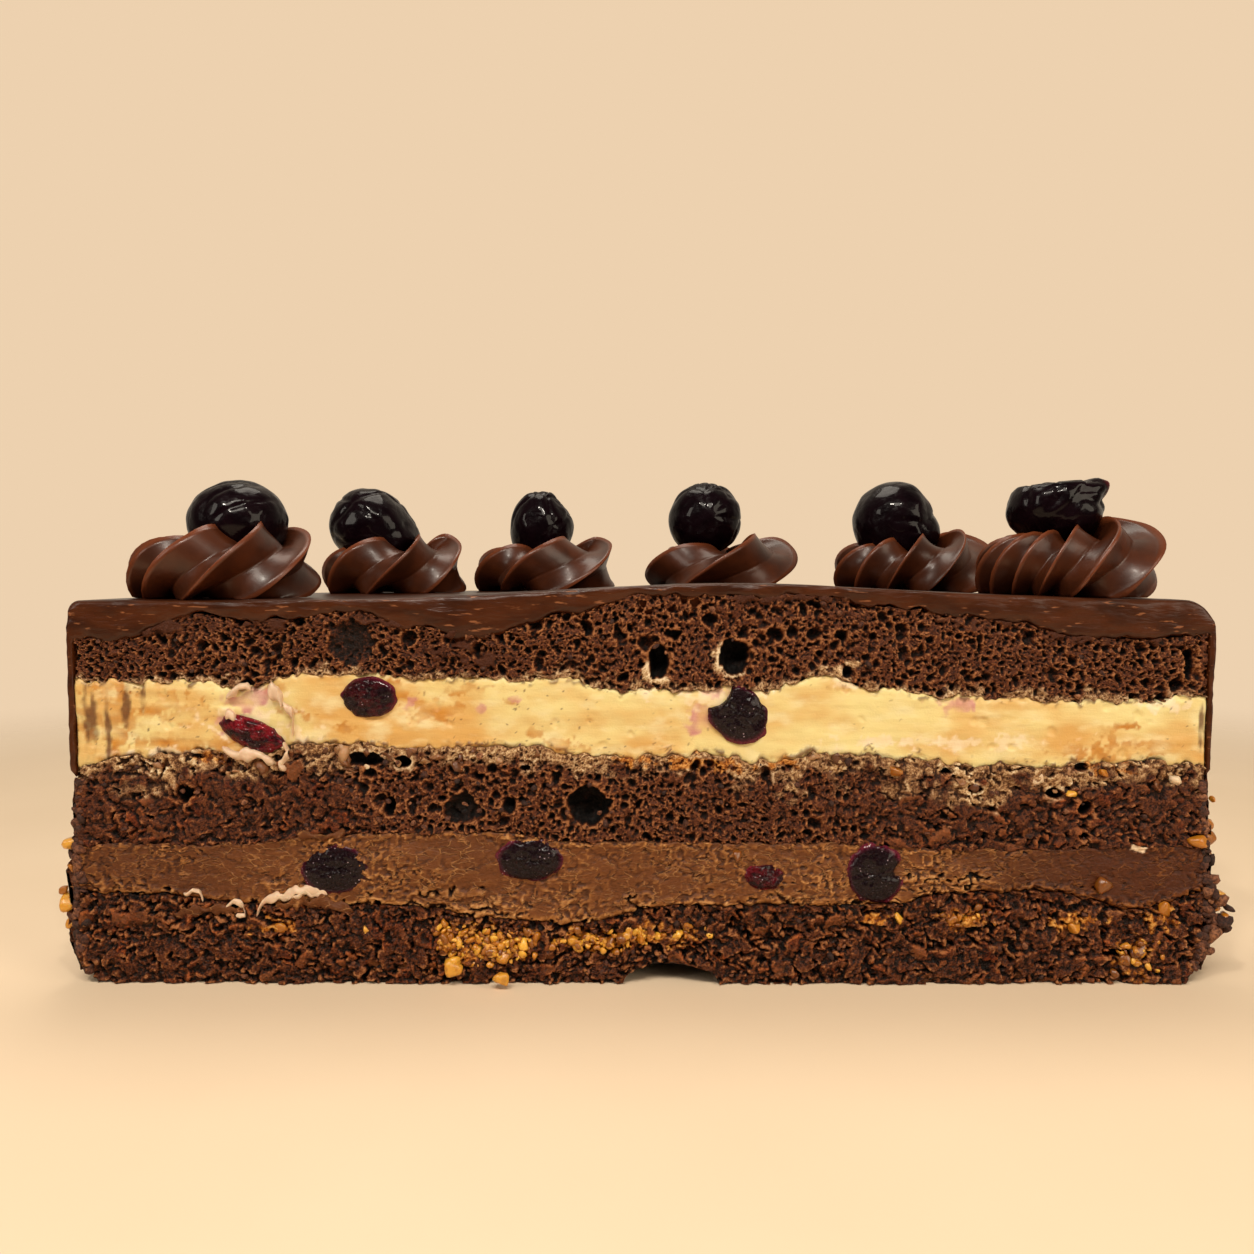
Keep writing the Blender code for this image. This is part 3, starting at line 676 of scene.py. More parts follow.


# %% [markdown]
# ## Chocolate sponge
# Sponge is a foam: thin walls round pores of every size, torn by the knife into crumbs. Its cut face is
# built from pores of four sizes over soft hills and small tilted crumbs. How far a point stands out from
# those round it is kept as a fact, and the colour paints light and shade from it: painted shade makes the
# pores nearly black and a painted highlight makes the torn walls paler. Where cream touched it, the pores
# are filled and the crumb is pale.

# %% Sponge finish
def sponge_finish(name, roughness, specular, shine, contrast):
    made = Finish(name, roughness=roughness, Specular_IOR_Level=specular)
    # The crest fact paints light and shade: the ramps below paint hollows and pores dark as shade and crests
    # pale as highlight, in crumb, cream and nut colours alike.
    stands = made.math("ADD", made.math("MULTIPLY", made.fact("crest"), contrast), 0.5 - 0.5 * contrast)
    wide = made.between(made.cells(1.05, "DISTANCE_TO_EDGE", wander=0.5), 0.0, 0.15, 1, 0)
    fine = made.between(made.cells(0.6, "DISTANCE_TO_EDGE", wander=0.3), 0.0, 0.2, 0.75, 0)
    threads = made.math("MAXIMUM", wide, fine)
    level = made.math("ADD", stands, made.between(made.grain(0.4, 3), 0.2, 0.8, -0.2, 0.06))
    # Painted highlight: the edges of the thin walls are made paler where they stand out.
    lit = made.math("MULTIPLY", threads, made.between(level, 0.25, 0.5, 0.03, 0.2))
    crest = made.math("ADD", level, lit)
    crumb = made.ramp(crest, (0.0, tone(5, 2, 1)), (0.36, tone(29, 11, 4)), (0.55, tone(70, 31, 13)),
                      (0.8, tone(106, 56, 28)), (1.0, tone(164, 106, 64)))
    warm = made.mix(1.0, crumb, tone(255, 200, 146), "MULTIPLY")
    warmth = made.math("ADD", made.grain(5, 2), made.fact("tint"))
    crumb = made.mix(made.between(warmth, 0.62, 1.1), crumb, warm)
    light = made.mix(0.55, crumb, tone(146, 88, 50))
    crumb = made.mix(made.between(made.fact("tint"), 0.32, 0.55), crumb, light)
    pale = made.ramp(crest, (0.0, tone(22, 11, 6)), (0.38, tone(84, 50, 28)), (0.58, tone(150, 108, 70)),
                     (0.8, tone(204, 168, 124)), (1.0, tone(240, 216, 178)))
    nutty = made.ramp(crest, (0.0, tone(44, 17, 4)), (0.4, tone(118, 58, 12)), (0.62, tone(186, 108, 26)),
                      (1.0, tone(240, 176, 88)))
    colour = made.mix(made.fact("smear"), crumb, pale)
    colour = made.mix(made.fact("film"), colour, tone(70, 33, 15))
    made.set("Base Color", made.mix(made.fact("nutty"), colour, nutty))
    tilt = made.bump(made.cells(0.34), shine)
    made.set("Normal", made.bump(threads, 0.09, over=tilt))
    return made.material


# The last number is how strongly the crest fact's painted light and shade show.
SPONGE = sponge_finish("chocolate_sponge", 0.6, 0.22, 0.08, 1.0)
WET_SPONGE = sponge_finish("syrup_sponge", 0.38, 0.19, 0.16, 1.3)


# %% [markdown]
# ## The torn face of a sponge
# The photo shows bubbles of all sizes, flakes where the crumb tore in sheets, and cream pressed into the
# pores next to the cream layer. A photograph wrapped on a flat face would look flat from the side, so the
# face is real relief: pores of four sizes, loose plates and a few large bubbles put where the photo has
# them.

# %% Sponge relief
# Pores: size, the share of places that have one, depth
PORES = ((0.8, 0.8, 0.6), (1.35, 0.85, 1.0), (2.2, 0.7, 1.5), (3.8, 0.32, 2.2))
FLAKE_SIZES = (4.6, 3.5, 2.6, 1.9, 1.3)


def hollow(x, z, place, seed):
    """The depth of one large opened bubble at (x, z, width, height, depth), uneven at its rim."""
    px, pz, width, height, deep = place
    edge = 0.16 * grain(x, z, 2.2, seed) + 0.07 * grain(x, z, 0.8, seed + 1)
    away = np.hypot((x - px) / (0.5 * width), (z - pz) / (0.5 * height)) + edge
    return deep * np.sqrt(np.clip(1 - away ** 2, 0, 1))


def crest_of(behind, fine, broad):
    """How far points stand out from those round them: 0 in a hollow, 0.5 where level, 1 on a crest."""
    near = around(behind, fine) - behind
    wide = around(behind, broad) - behind
    return np.clip(0.5 + 0.50 * near + 0.26 * wide, 0, 1)


def foam(x, z, seed):
    """Pores of all sizes together: their depth, and the thin walls round them."""
    pits, walls = [], []
    for n, (size, share, deep) in enumerate(PORES):
        pit, wall = pores(x, z, size, seed + 9 + n, share, deep)
        pits.append(pit)
        walls.append(wall)
    return np.maximum.reduce(pits), np.maximum.reduce(walls)


def rubbed_cream(x, z, seed, below, above):
    """Where cream was rubbed in, from 0 to 1: so far above the lower seam, or so far below the upper."""
    depth_in, depth_up = z - z[:, :1], z[:, -1:] - z
    wander = grain(x, z, 3.0, seed + 12) + 0.7 * grain(x, z, 1.0, seed + 13)
    smear = np.zeros(x.shape)
    if below:
        smear = np.maximum(smear, 0.8 * smooth((below + 1.5 * wander - depth_in) / 2.0))
    if above:
        rubbed = along(above, x) * (1 + 0.5 * grain(x, z, 5.0, seed + 16)) + 1.3 * wander
        blotch = smooth(0.9 * grain(x, z, 3.0, seed + 17) + 0.7 * grain(x, z, 1.3, seed + 18) + 0.75)
        covered = np.maximum(blotch, smooth(1.3 - depth_up))
        smear = np.maximum(smear, smooth((rubbed - depth_up) / 3.0) * covered)
    return smear


def sponge_relief(seed, holes, cream_below=0.0, cream_above=None, flaky=lambda x: 0 * x, flake_rise=1.9,
                  rims=(), films=(), golden=()):
    """The relief of one sponge's cut face, and the places with cream, glaze or nuts on them."""
    def relief(x, z):
        wx = x + 0.30 * grain(x, z, 1.5, seed) + 0.13 * grain(x, z, 0.6, seed + 1)
        wz = z + 0.30 * grain(x, z, 1.5, seed + 2) + 0.13 * grain(x, z, 0.6, seed + 3)
        hills = 0.40 * grain(x, z, 6.0, seed + 4) + 0.24 * grain(x, z, 2.2, seed + 5)
        hills = hills + 0.12 * grain(x, z, 0.9, seed + 6)
        torn = 0.20 * crumbs(wx, wz, 1.2, seed + 7) + 0.12 * crumbs(wx, wz, 0.6, seed + 8)
        pit, wall = foam(wx, wz, seed)
        plates, tint = flakes(wx, wz, FLAKE_SIZES, seed + 60, flake_rise)
        part = np.clip(flaky(x) + 0.35 * grain(x, z, 4.0, seed + 15), 0, 1)
        smear = rubbed_cream(x, z, seed, cream_below, cream_above)
        smear = np.maximum(smear, 0.95 * patches(x, z, rims, seed + 19, 0.5))
        film = patches(x, z, films, seed + 21, 0.9) * smooth(grain(x, z, 1.5, seed + 23) + 0.9)
        large = np.zeros(x.shape)
        for n, place in enumerate(holes):
            large = np.maximum(large, hollow(x, z, place, seed + 30 + n))
        inside = smooth(large / 0.8)
        bubbles = pit * (1 - 0.8 * smear) - 0.16 * wall
        loose = (plates - 0.45 * flake_rise) * part
        behind = -hills - torn * (1 - 0.5 * smear) + bubbles * (1 - part) - loose
        behind = behind * (1 - 0.55 * inside) * (1 - 0.85 * film) - 0.45 * film + large
        # The crest fact paints light and shade: pore walls get a painted highlight, and the large bubbles get
        # painted shade deep inside.
        crest = crest_of(behind, 2, 5) + 0.15 * wall * (1 - part) * (1 - inside)
        crest = crest - 0.3 * inside * smooth(large / 2.6)
        facts = {"crest": np.clip(crest, 0, 1), "smear": smear * (1 - inside),
                 "nutty": 0.8 * patches(x, z, golden, seed + 25, 0.9),
                 "tint": 1.2 * part * (tint - 0.5), "film": film * (1 - inside)}
        return behind, facts
    return relief


# %% [markdown]
# ## Top and middle sponge
# The top sponge was torn open in large bubbles under the glaze, with a skin of glaze dragged over it. The
# middle one is foamy in the middle of the cut and flaky towards both ends, and cream was rubbed deep into
# its top. The places below were read from the photo: bubbles as (x, z, width, height, depth), stains
# without the depth.

# %% The top and middle sponges
SPONGE_STEP = 0.28
CREAM_RUBBED = [(-112, 5), (-92, 6.5), (-74, 6), (-56, 5), (-24, 4.6), (4, 3.4), (18, 4.5), (30, 7),
                (60, 8.5), (80, 6.5), (112, 5)]
TOP_HOLES = [(-55.4, 66.2, 9.4, 8.8, 1.5), (3.4, 62.4, 3.8, 7.0, 5.0), (18.0, 63.6, 6.0, 6.6, 5.0),
             (39.7, 60.4, 2.4, 2.4, 2.5), (105.3, 61.8, 2.0, 5.8, 3.0)]
CREAM_RIMS = [(14.6, 62.6, 2.4, 7.0), (17.6, 60.0, 7.0, 2.0), (1.2, 60.6, 1.8, 5.0), (3.0, 58.8, 4.4, 1.8),
              (37.6, 60.8, 3.0, 4.4), (40.6, 62.2, 3.4, 1.4)]
GLAZE_FILMS = [(-34.0, 66.4, 9.0, 7.0), (-31.0, 62.6, 7.0, 4.5), (-48.0, 71.0, 16.0, 3.0),
               (-92.0, 69.4, 12.0, 3.0), (26.0, 75.0, 30.0, 1.6), (66.0, 70.6, 14.0, 2.4),
               (92.0, 67.4, 20.0, 2.6), (-70.0, 69.8, 12.0, 2.4)]
MIDDLE_HOLES = [(-10.0, 34.4, 8.4, 7.4, 5.0), (-34.8, 34.2, 6.4, 6.2, 2.4), (-25.4, 34.6, 2.6, 3.4, 2.2),
                (-88.0, 37.0, 3.2, 3.6, 3.5), (-48.6, 34.6, 2.3, 3.8, 3.5), (-53.3, 43.6, 7.6, 2.8, 3.0),
                (-46.0, 43.2, 3.6, 2.6, 3.0), (-22.4, 42.0, 2.2, 1.2, 2.0), (-31.3, 40.2, 2.0, 1.3, 2.0),
                (64.6, 38.0, 2.8, 1.8, 3.0), (59.0, 41.4, 2.8, 1.2, 2.5), (79.8, 37.0, 3.2, 2.2, 3.5),
                (85.8, 34.2, 3.2, 2.6, 3.5), (85.4, 28.8, 2.0, 1.4, 2.5), (84.8, 42.2, 2.8, 1.8, 1.6),
                (-38.6, 36.0, 1.6, 1.2, 2.0), (67.8, 34.0, 1.7, 1.2, 2.0)]
GOLDEN_PLACES = [(-2.0, 43.6, 6, 2.6), (8.0, 43.2, 8, 2.6), (16.0, 42.4, 8, 3.2), (27.0, 43.0, 5, 2.4),
                 (88.0, 42.6, 5, 2.6), (93.0, 41.4, 4, 3), (-84.0, 44.0, 6, 2)]


def middle_flaky(x):
    """The middle sponge is torn into flakes towards both ends and foamy between."""
    return 0.15 + 0.75 * smooth((np.abs(x + 8) - 38) / 26)


top_relief = sponge_relief(100, TOP_HOLES, cream_below=1.7, rims=CREAM_RIMS, films=GLAZE_FILMS)
middle_relief = sponge_relief(200, MIDDLE_HOLES, cream_above=CREAM_RUBBED, flaky=middle_flaky,
                              golden=GOLDEN_PLACES)
add_layer("top_sponge_slab", "top_sponge", (cream_seam, sponge_seam), SPONGE_STEP, top_relief,
          SPONGE)
add_layer("middle_sponge_slab", "middle_sponge", (mousse_seam, middle_seam), SPONGE_STEP, middle_relief,
          SPONGE)

# %% [markdown]
# ## Base sponge
# The lowest sponge took up syrup and crumbled under the knife, so it is darker and flakier than the others,
# with caramel-coloured nuts in it. In the middle it has lifted a little off the floor.

# %% The base
ARCH_X, ARCH_WIDTH, ARCH_HEIGHT, ARCH_DEPTH = 6.0, 19.0, 4.0, 9.0
NUTTY_PLACES = [(-37.0, 8.6, 7, 5), (-29.0, 7.4, 12, 6), (-10.0, 8.4, 12, 3.5), (3.0, 9.4, 14, 3.5),
                (62.0, 12.6, 10, 3), (96.0, 5.0, 6, 7), (101.0, 12.6, 5, 5), (-70.0, 11.0, 8, 3),
                (45.0, 12.5, 6, 2), (84.0, 12.4, 12, 2.5)]
BASE_HOLES = [(93.0, 5.8, 7.0, 2.0, 3.0)]
BASE_FLAKY = 0.88
BASE_DARKER = 0.03

crumbly_relief = sponge_relief(300, BASE_HOLES, flaky=lambda x: BASE_FLAKY + 0 * x, flake_rise=2.5)


def arch(x, depth):
    """How far the base is lifted off the floor."""
    inside = np.clip(1 - ((x - ARCH_X) / (0.5 * ARCH_WIDTH)) ** 2, 0, 1)
    return ARCH_HEIGHT * np.sqrt(inside) * (1 - smooth(depth / ARCH_DEPTH))


def base_foot(x, depth):
    """The underside of the base."""
    return floor_seam(x, depth) + arch(x, depth)


def base_relief(x, z):
    behind, facts = crumbly_relief(x, z)
    facts["nutty"] = 0.85 * patches(x, z, NUTTY_PLACES, 350, 0.9)
    facts["crest"] = np.clip(facts["crest"] - BASE_DARKER, 0, 1)
    return behind, facts


add_layer("base_sponge_slab", "base_sponge", (base_foot, base_seam), SPONGE_STEP, base_relief, WET_SPONGE)

# %% [markdown]
# ## Vanilla cream
# The cream is smooth and firm, so the knife left long shallow drag lines in it and rubbed in crumbs, syrup
# and cherry juice. It is a little see-through: light goes in and comes out nearby, which subsurface
# scattering gives.

# %% Cream finish and relief
# Stains in the cream: (x, z, width, height)
CARAMEL = [(-102.0, 51.0, 12, 16), (-92.0, 54.0, 14, 7), (-94.0, 47.0, 22, 5), (-40.0, 53.5, 9, 4),
           (-25.0, 55.6, 4, 3), (-15.0, 46.0, 8, 4), (88.0, 45.4, 13, 5), (-66.0, 52.5, 6, 3),
           (100.0, 46.0, 8, 3), (27.0, 44.6, 7, 2.5), (-73.0, 57.0, 8, 2), (81.5, 55.5, 4, 2),
           (-34.0, 57.0, 8, 2.5), (-47.0, 57.0, 4, 3), (-57.0, 50.0, 3, 2), (38.0, 57.4, 4, 2),
           (-20.0, 49.0, 5, 2), (92.0, 50.0, 5, 2)]
DARK_STREAKS = [(-106.0, 52.0, 3.4, 18), (-102.6, 49.0, 1.5, 15), (-98.8, 54.0, 2.4, 11),
                (-95.6, 55.6, 1.6, 7), (107.8, 50.0, 1.2, 12)]
WHITE_CREAM = [(-75.0, 50.5, 16, 7), (-66.0, 47.0, 8, 6), (-73.0, 55.5, 9, 4.5), (-90.0, 44.8, 16, 2.5),
               (21.0, 57.5, 9, 4), (40.0, 59.0, 8, 4), (2.0, 57.0, 5, 3), (60.0, 47.0, 40, 3),
               (100.0, 54.0, 12, 3), (12.0, 55.0, 8, 6)]
JUICE = [(-75.5, 55.4, 9.0, 6.5), (61.0, 54.2, 9, 3.6), (12.0, 52.6, 7, 5), (14.5, 56.6, 5, 4),
         (14.0, 56.5, 5, 3), (-79.0, 50.5, 8, 3), (-44.0, 55.0, 3, 4), (-30.5, 53.6, 2, 1.6),
         (-24.0, 55.4, 2.2, 1.6), (10.0, 49.6, 3, 2)]


def cream_finish():
    made = Finish("vanilla_cream", roughness=0.45, Subsurface_Weight=0.10, Subsurface_Scale=0.0015)
    made.shader.inputs["Subsurface Radius"].default_value = (1.0, 0.6, 0.25)
    deeper = made.between(made.grain(10, 3, (1.8, 1, 1)), 0.35, 0.65)
    cream = made.mix(deeper, tone(229, 211, 146), tone(213, 165, 92))
    paler = made.between(made.grain(3.2, 3, (2, 1, 1)), 0.48, 0.75, 0, 0.7)
    cream = made.mix(paler, cream, tone(233, 219, 170))
    caramel = made.mix(made.grain(1.3, 2), tone(164, 96, 22), tone(212, 146, 50))
    colour = made.mix(made.fact("caramel"), cream, caramel)
    colour = made.mix(made.fact("white"), colour, tone(240, 220, 188))
    juice = made.mix(made.grain(1.2, 2), tone(222, 158, 160), tone(164, 68, 92))
    colour = made.mix(made.fact("juice"), colour, juice)
    dark = made.mix(made.grain(0.8, 2), tone(60, 28, 12), tone(116, 64, 30))
    made.set("Base Color", made.mix(made.fact("dark"), colour, dark))
    drag = made.bump(made.grain(0.9, 3, (5, 1, 1)), 0.12)
    made.set("Normal", made.bump(made.grain(0.35, 2), 0.05, over=drag))
    return made.material


def cream_relief(x, z):
    depth_in, depth_up = z - z[:, :1], z[:, -1:] - z
    left = 0.35 + 0.65 * smooth((-60 - x) / 20)
    drag = left * 0.16 * grain(x, z, 0.9, 401, stretch=12) + 0.14 * grain(x, z, 2.6, 402, stretch=3)
    broad = 0.35 * grain(x, z, 9, 403) + 0.12 * grain(x, z, 1.6, 404, stretch=1.6)
    pits = pores(x, z, 2.6, 405, 0.10, 0.35)[0]
    edge = 0.5 * np.exp(-depth_up / 0.5) + 0.4 * np.exp(-depth_in / 0.5)
    rubbed = grain(x, z, 0.8, 406) + 0.6 * grain(x, z, 0.35, 407)
    near_low = smooth((1.5 + 1.3 * grain(x, z, 3.2, 408) - depth_in) / 1.4)
    near_high = smooth((0.8 + 0.9 * grain(x, z, 2.6, 409) - depth_up) / 0.9)
    crumb_low = near_low * smooth((rubbed - 0.05) / 0.35)
    crumb_high = near_high * smooth((rubbed - 0.15) / 0.35)
    specks = smooth((grain(x, z, 0.42, 410) - 0.86) / 0.06) * smooth(grain(x, z, 12, 411) / 0.5 + 0.4)
    worn = smooth(grain(x, z, 3.0, 413, stretch=0.4) + 1.0)
    streaks = 0.85 * patches(x, z, DARK_STREAKS, 412, 0.22) * worn
    dark = np.clip(np.maximum.reduce([0.85 * crumb_low, 0.8 * crumb_high, 0.8 * specks, streaks]), 0, 1)
    caramel = patches(x, z, CARAMEL, 414, 0.9) * (0.52 + 0.5 * grain(x, z, 1.5, 415, stretch=2.5))
    white = 0.8 * patches(x, z, WHITE_CREAM, 418, 0.8) * (0.8 + 0.4 * grain(x, z, 1.4, 419))
    juice = patches(x, z, JUICE, 416, 0.6) * (0.55 + 0.35 * grain(x, z, 1.5, 417))
    raised = 0.35 * np.maximum(crumb_low, crumb_high) * (0.5 + rubbed)
    behind = -(drag + broad) + pits + edge - raised
    return behind, {"caramel": np.clip(caramel, 0, 1), "juice": np.clip(juice, 0, 1), "dark": dark,
                    "white": np.clip(white, 0, 1)}


CREAM_STEP = 0.34
add_layer("vanilla_cream_layer", "vanilla_cream", (middle_seam, cream_seam), CREAM_STEP, cream_relief,
          cream_finish())

# %% [markdown]
# ## Chocolate mousse
# The mousse is smooth where the knife slid and torn into fine curls where it stuck. It has come away from
# the base in thin dark cracks. Small ridges from stretched noise give the torn skin, and cracks are narrow
# valleys where a wandering noise crosses zero.

# %% Mousse finish and relief
def mousse_finish():
    made = Finish("chocolate_mousse", roughness=0.55, Specular_IOR_Level=0.3)
    darker = made.between(made.grain(12, 3, (2, 1, 1)), 0.3, 0.7)
    body = made.mix(darker, tone(114, 64, 25), tone(86, 44, 15))
    # The crest ramp is painted light and shade: nearly black in hollows, pale on torn ridges.
    torn = made.ramp(made.fact("crest"), (0.0, tone(18, 7, 3)), (0.4, tone(66, 33, 12)),
                     (0.52, tone(108, 60, 24)), (0.66, tone(166, 110, 56)), (1.0, tone(214, 162, 104)))
    colour = made.mix(made.fact("torn"), body, torn)
    # Thin pale lines: painted highlights along the edges of the wrinkles, which also raise them in the bump.
    lines = made.between(made.cells(1.7, "DISTANCE_TO_EDGE", (2.0, 1, 0.8), wander=0.9), 0.0, 0.07, 1, 0)
    lines = made.math("MULTIPLY", lines, made.between(made.grain(2.2, 2), 0.42, 0.6))
    colour = made.mix(made.math("MULTIPLY", lines, 0.6), colour, tone(188, 132, 76))
    # Dark marks beside the wrinkles: painted shadows.
    painted_wrinkle_shadows = made.between(made.cells(2.4, "DISTANCE_TO_EDGE", (2.6, 1, 0.7), wander=1.2), 0.0, 0.06, 0.65, 0)
    painted_wrinkle_shadows = made.math("MULTIPLY", painted_wrinkle_shadows, made.between(made.grain(2.8, 2), 0.5, 0.62))
    colour = made.mix(painted_wrinkle_shadows, colour, tone(44, 20, 9))
    colour = made.mix(made.fact("end"), colour, made.mix(1.0, colour, tone(184, 154, 104), "MULTIPLY"))
    # The cracks are real valleys; their near black colour is painted shade.
    colour = made.mix(made.fact("crack"), colour, tone(14, 6, 3))
    made.set("Base Color", made.mix(made.fact("cream"), colour, tone(232, 204, 170)))
    wrinkle = made.bump(made.cells(0.9, "DISTANCE_TO_EDGE", (1.8, 1, 0.8), wander=0.5), 0.16)
    ridge = made.bump(lines, 0.16, over=wrinkle)
    made.set("Normal", made.bump(made.grain(0.4, 3), 0.10, over=ridge))
    return made.material


CRACKS = [(-36.0, 17.6, 16, 2.4), (-30.0, 15.2, 12, 2.2), (10.0, 16.4, 34, 2.6), (72.0, 18.2, 46, 2.6),
          (60.0, 20.5, 22, 2.0), (95.0, 16.5, 14, 2.4), (-50.0, 17.4, 10, 1.6)]
CREAM_SPOTS = [(-79.0, 29.0, 3.0, 1.2), (-66.0, 28.4, 2.0, 1.0), (96.0, 26.4, 3.0, 1.2)]


def mousse_relief(x, z):
    depth_in, depth_up = z - z[:, :1], z[:, -1:] - z
    wx = x + 0.7 * grain(x, z, 2.6, 501) + 0.25 * grain(x, z, 0.9, 520)
    wz = z + 0.7 * grain(x, z, 2.6, 502) + 0.25 * grain(x, z, 0.9, 521)
    slow = 0.30 * grain(x, z, 7, 503, stretch=1.8) + 0.12 * grain(x, z, 2.4, 504, stretch=2)
    plates, _ = flakes(wx, wz, (4.2, 3.0, 2.2, 1.5, 1.1), 530, 0.7)
    ridge = np.abs(grain(wx, wz, 1.0, 505, stretch=1.8))
    hairs = np.exp(-ridge / 0.07) * smooth(grain(x, z, 2.5, 506) + 0.55)
    torn = np.clip(0.45 + 0.8 * grain(x, z, 6.0, 508, stretch=1.6) + smooth((2.2 - depth_in) / 1.6)
                   + 0.6 * smooth((1.8 - depth_up) / 1.4), 0.12, 1)
    wander = np.abs(grain(x, z, 5.0, 509, stretch=2.6) + 0.35 * grain(x, z, 1.3, 510))
    cracked = np.maximum(patches(x, z, CRACKS, 511, 0.5), 0.8 * smooth((1.8 - depth_in) / 1.4))
    crack = smooth((0.10 - wander) / 0.05) * cracked
    slab = patches(x, z, CRACKS, 522, 0.7) * smooth(grain(x, z, 3.2, 523, stretch=2) / 0.12)
    pits = pores(wx, wz, 1.5, 512, 0.16, 0.5)[0] * torn
    foot = 0.9 * np.exp(-depth_in / 0.35)
    raised = (plates + 0.34 * hairs) * (0.35 + 0.65 * torn)
    behind = -slow - raised - 0.4 * slab + pits + 1.3 * crack + foot
    # The hairs raise the crest fact, so they get a painted highlight.
    crest = np.clip(crest_of(behind, 2, 4) + 0.2 * hairs * torn, 0, 1)
    darker_end = np.where(x < 0, 0.42, 1.0) * smooth((np.abs(x) - 52) / 40)
    facts = {"crest": crest, "torn": 0.45 + 0.5 * torn, "crack": 0.9 * crack,
             "cream": patches(x, z, CREAM_SPOTS, 524, 0.9), "end": darker_end}
    return behind, facts


MOUSSE_STEP = 0.3
MOUSSE = mousse_finish()
add_layer("chocolate_mousse_layer", "chocolate_mousse", (base_seam, mousse_seam), MOUSSE_STEP,
          mousse_relief, MOUSSE)

# %% [markdown]
# ## Cherries in the cut
# The knife went through seven cherries. Their cut flesh is dark, wet and grainy, just proud of the cake's
# face, with a paler red edge where it is thin.

# %% Cut cherries
def flesh_finish():
    made = Finish("cut_cherry_flesh", roughness=0.3, Specular_IOR_Level=0.10, Coat_Weight=0.3,
                  Coat_Roughness=0.1)
    flesh = made.ramp(made.fact("rim"), (0.0, tone(20, 4, 11)), (0.6, tone(24, 4, 13)),
                      (0.84, tone(64, 11, 32)), (1.0, tone(108, 32, 50)))
    flesh = made.mix(made.between(made.grain(0.9, 3), 0.55, 0.75, 0, 0.5), flesh, tone(42, 11, 18))
    darker = made.between(made.grain(1.5, 3, (1.6, 1, 1)), 0.42, 0.6)
    juicy = made.mix(darker, tone(158, 18, 34), tone(52, 8, 16))
    flesh = made.mix(made.fact("bright"), flesh, juicy)
    # Tiny pale dots on the flesh: painted glints.
    glint_dots = made.between(made.cells(0.8), 0.10, 0.2, 0.75, 0)
    glints = made.math("MULTIPLY", glint_dots, made.between(made.grain(1.6, 3), 0.45, 0.6))
    made.set("Base Color", made.mix(glints, flesh, tone(196, 170, 180)))
    web = made.bump(made.cells(0.9, "DISTANCE_TO_EDGE", wander=0.4), 0.8)
    made.set("Normal", made.bump(made.grain(0.45, 3), 0.35, over=web))
    return made.material


FLESH = flesh_finish()
# How bright the flesh is where it is not nearly black
BRIGHT_CHERRIES = {"cream_cherry_1": 0.8, "cream_cherry_2": 0.14, "mousse_cherry_3": 0.4}
# Bites out of the flesh: (across, up, size), as shares of the cherry's own half width and height
NOTCHES = {"cream_cherry_3": (-1.08, 0.28, 0.74), "mousse_cherry_4": (1.0, 0.12, 0.34),
           "mousse_cherry_2": (-0.3, 1.3, 0.5), "cream_cherry_1": (0.9, 1.0, 0.5),
           "cream_cherry_2": (-1.1, -0.7, 0.5)}
NOTCH_DEPTH, NOTCH_EDGE = 3.2, 0.22
HALF_RINGS, HALF_SIDES = 34, 64


def unit_ball(rings, sides):
    """Points of a ball of radius 1, ring after ring from its foot to its top."""
    out = np.linspace(0, math.pi, rings + 1)[:, None]
    turn = np.linspace(0, math.tau, sides, endpoint=False)[None, :]
    x, y = np.sin(out) * np.cos(turn), np.sin(out) * np.sin(turn)
    return np.stack([x, y, -np.cos(out) + 0 * turn], axis=-1)


def cut_cherry_mesh(name, x, z, width, height, tilt):
    """A cherry halved by the knife: round behind, nearly flat and grainy in front."""
    ball = unit_ball(HALF_RINGS, HALF_SIDES)[..., [0, 2, 1]]
    seed = int(abs(x) * 10)
    uneven = 1 + 0.12 * grain_round(ball, 0.9, seed) + 0.08 * grain_round(ball, 0.3, seed + 1)
    ball = ball * uneven[..., None] * np.array([0.5 * width, 0.5 * width, 0.5 * height])
    across, behind, up = ball[..., 0], ball[..., 1], ball[..., 2]
    ahead = behind < 0
    across_share, up_share = across / (0.5 * width), up / (0.5 * height)
    rim = np.clip(np.hypot(across_share, up_share), 0, 1) ** 3
    grainy = 0.36 * crumbs(across, up, 1.3, seed + 2) + 0.32 * grain(across, up, 2.2, seed + 3)
    pressed = behind * CUT_CHERRY_PROUD / (0.5 * width) - grainy * (1 - rim)
    behind = np.where(ahead, pressed, behind)
    if name in NOTCHES:
        notch_x, notch_z, size = NOTCHES[name]
        away = np.hypot(across_share - notch_x, up_share - notch_z)
        away = away + 0.10 * grain(across, up, 1.3, seed + 5)
        behind = behind + np.where(ahead, NOTCH_DEPTH * smooth((size - away) / NOTCH_EDGE), 0)
    lean = -math.radians(tilt)
    turned_x = across * math.cos(lean) - up * math.sin(lean)
    turned_z = across * math.sin(lean) + up * math.cos(lean)
    points = np.stack([x + turned_x, CUT_Y + behind, z + turned_z], axis=-1).reshape(-1, 3)
    faces = ring_faces(HALF_RINGS + 1, HALF_SIDES, flip=True)
    bright = BRIGHT_CHERRIES.get(name, 0.0) * (0.6 + 0.5 * grain(points[:, 0], points[:, 2], 2.0, seed + 4))
    return points, faces, {"rim": np.where(ahead, rim, 0.4).ravel(), "bright": np.clip(bright, 0, 1)}


for name, (x, z, width, height, tilt) in CUT_CHERRIES.items():
    points, faces, facts = cut_cherry_mesh(name, x, z, width, height, tilt)
    piece(name + "_half", points, faces, FLESH, (name,), facts)

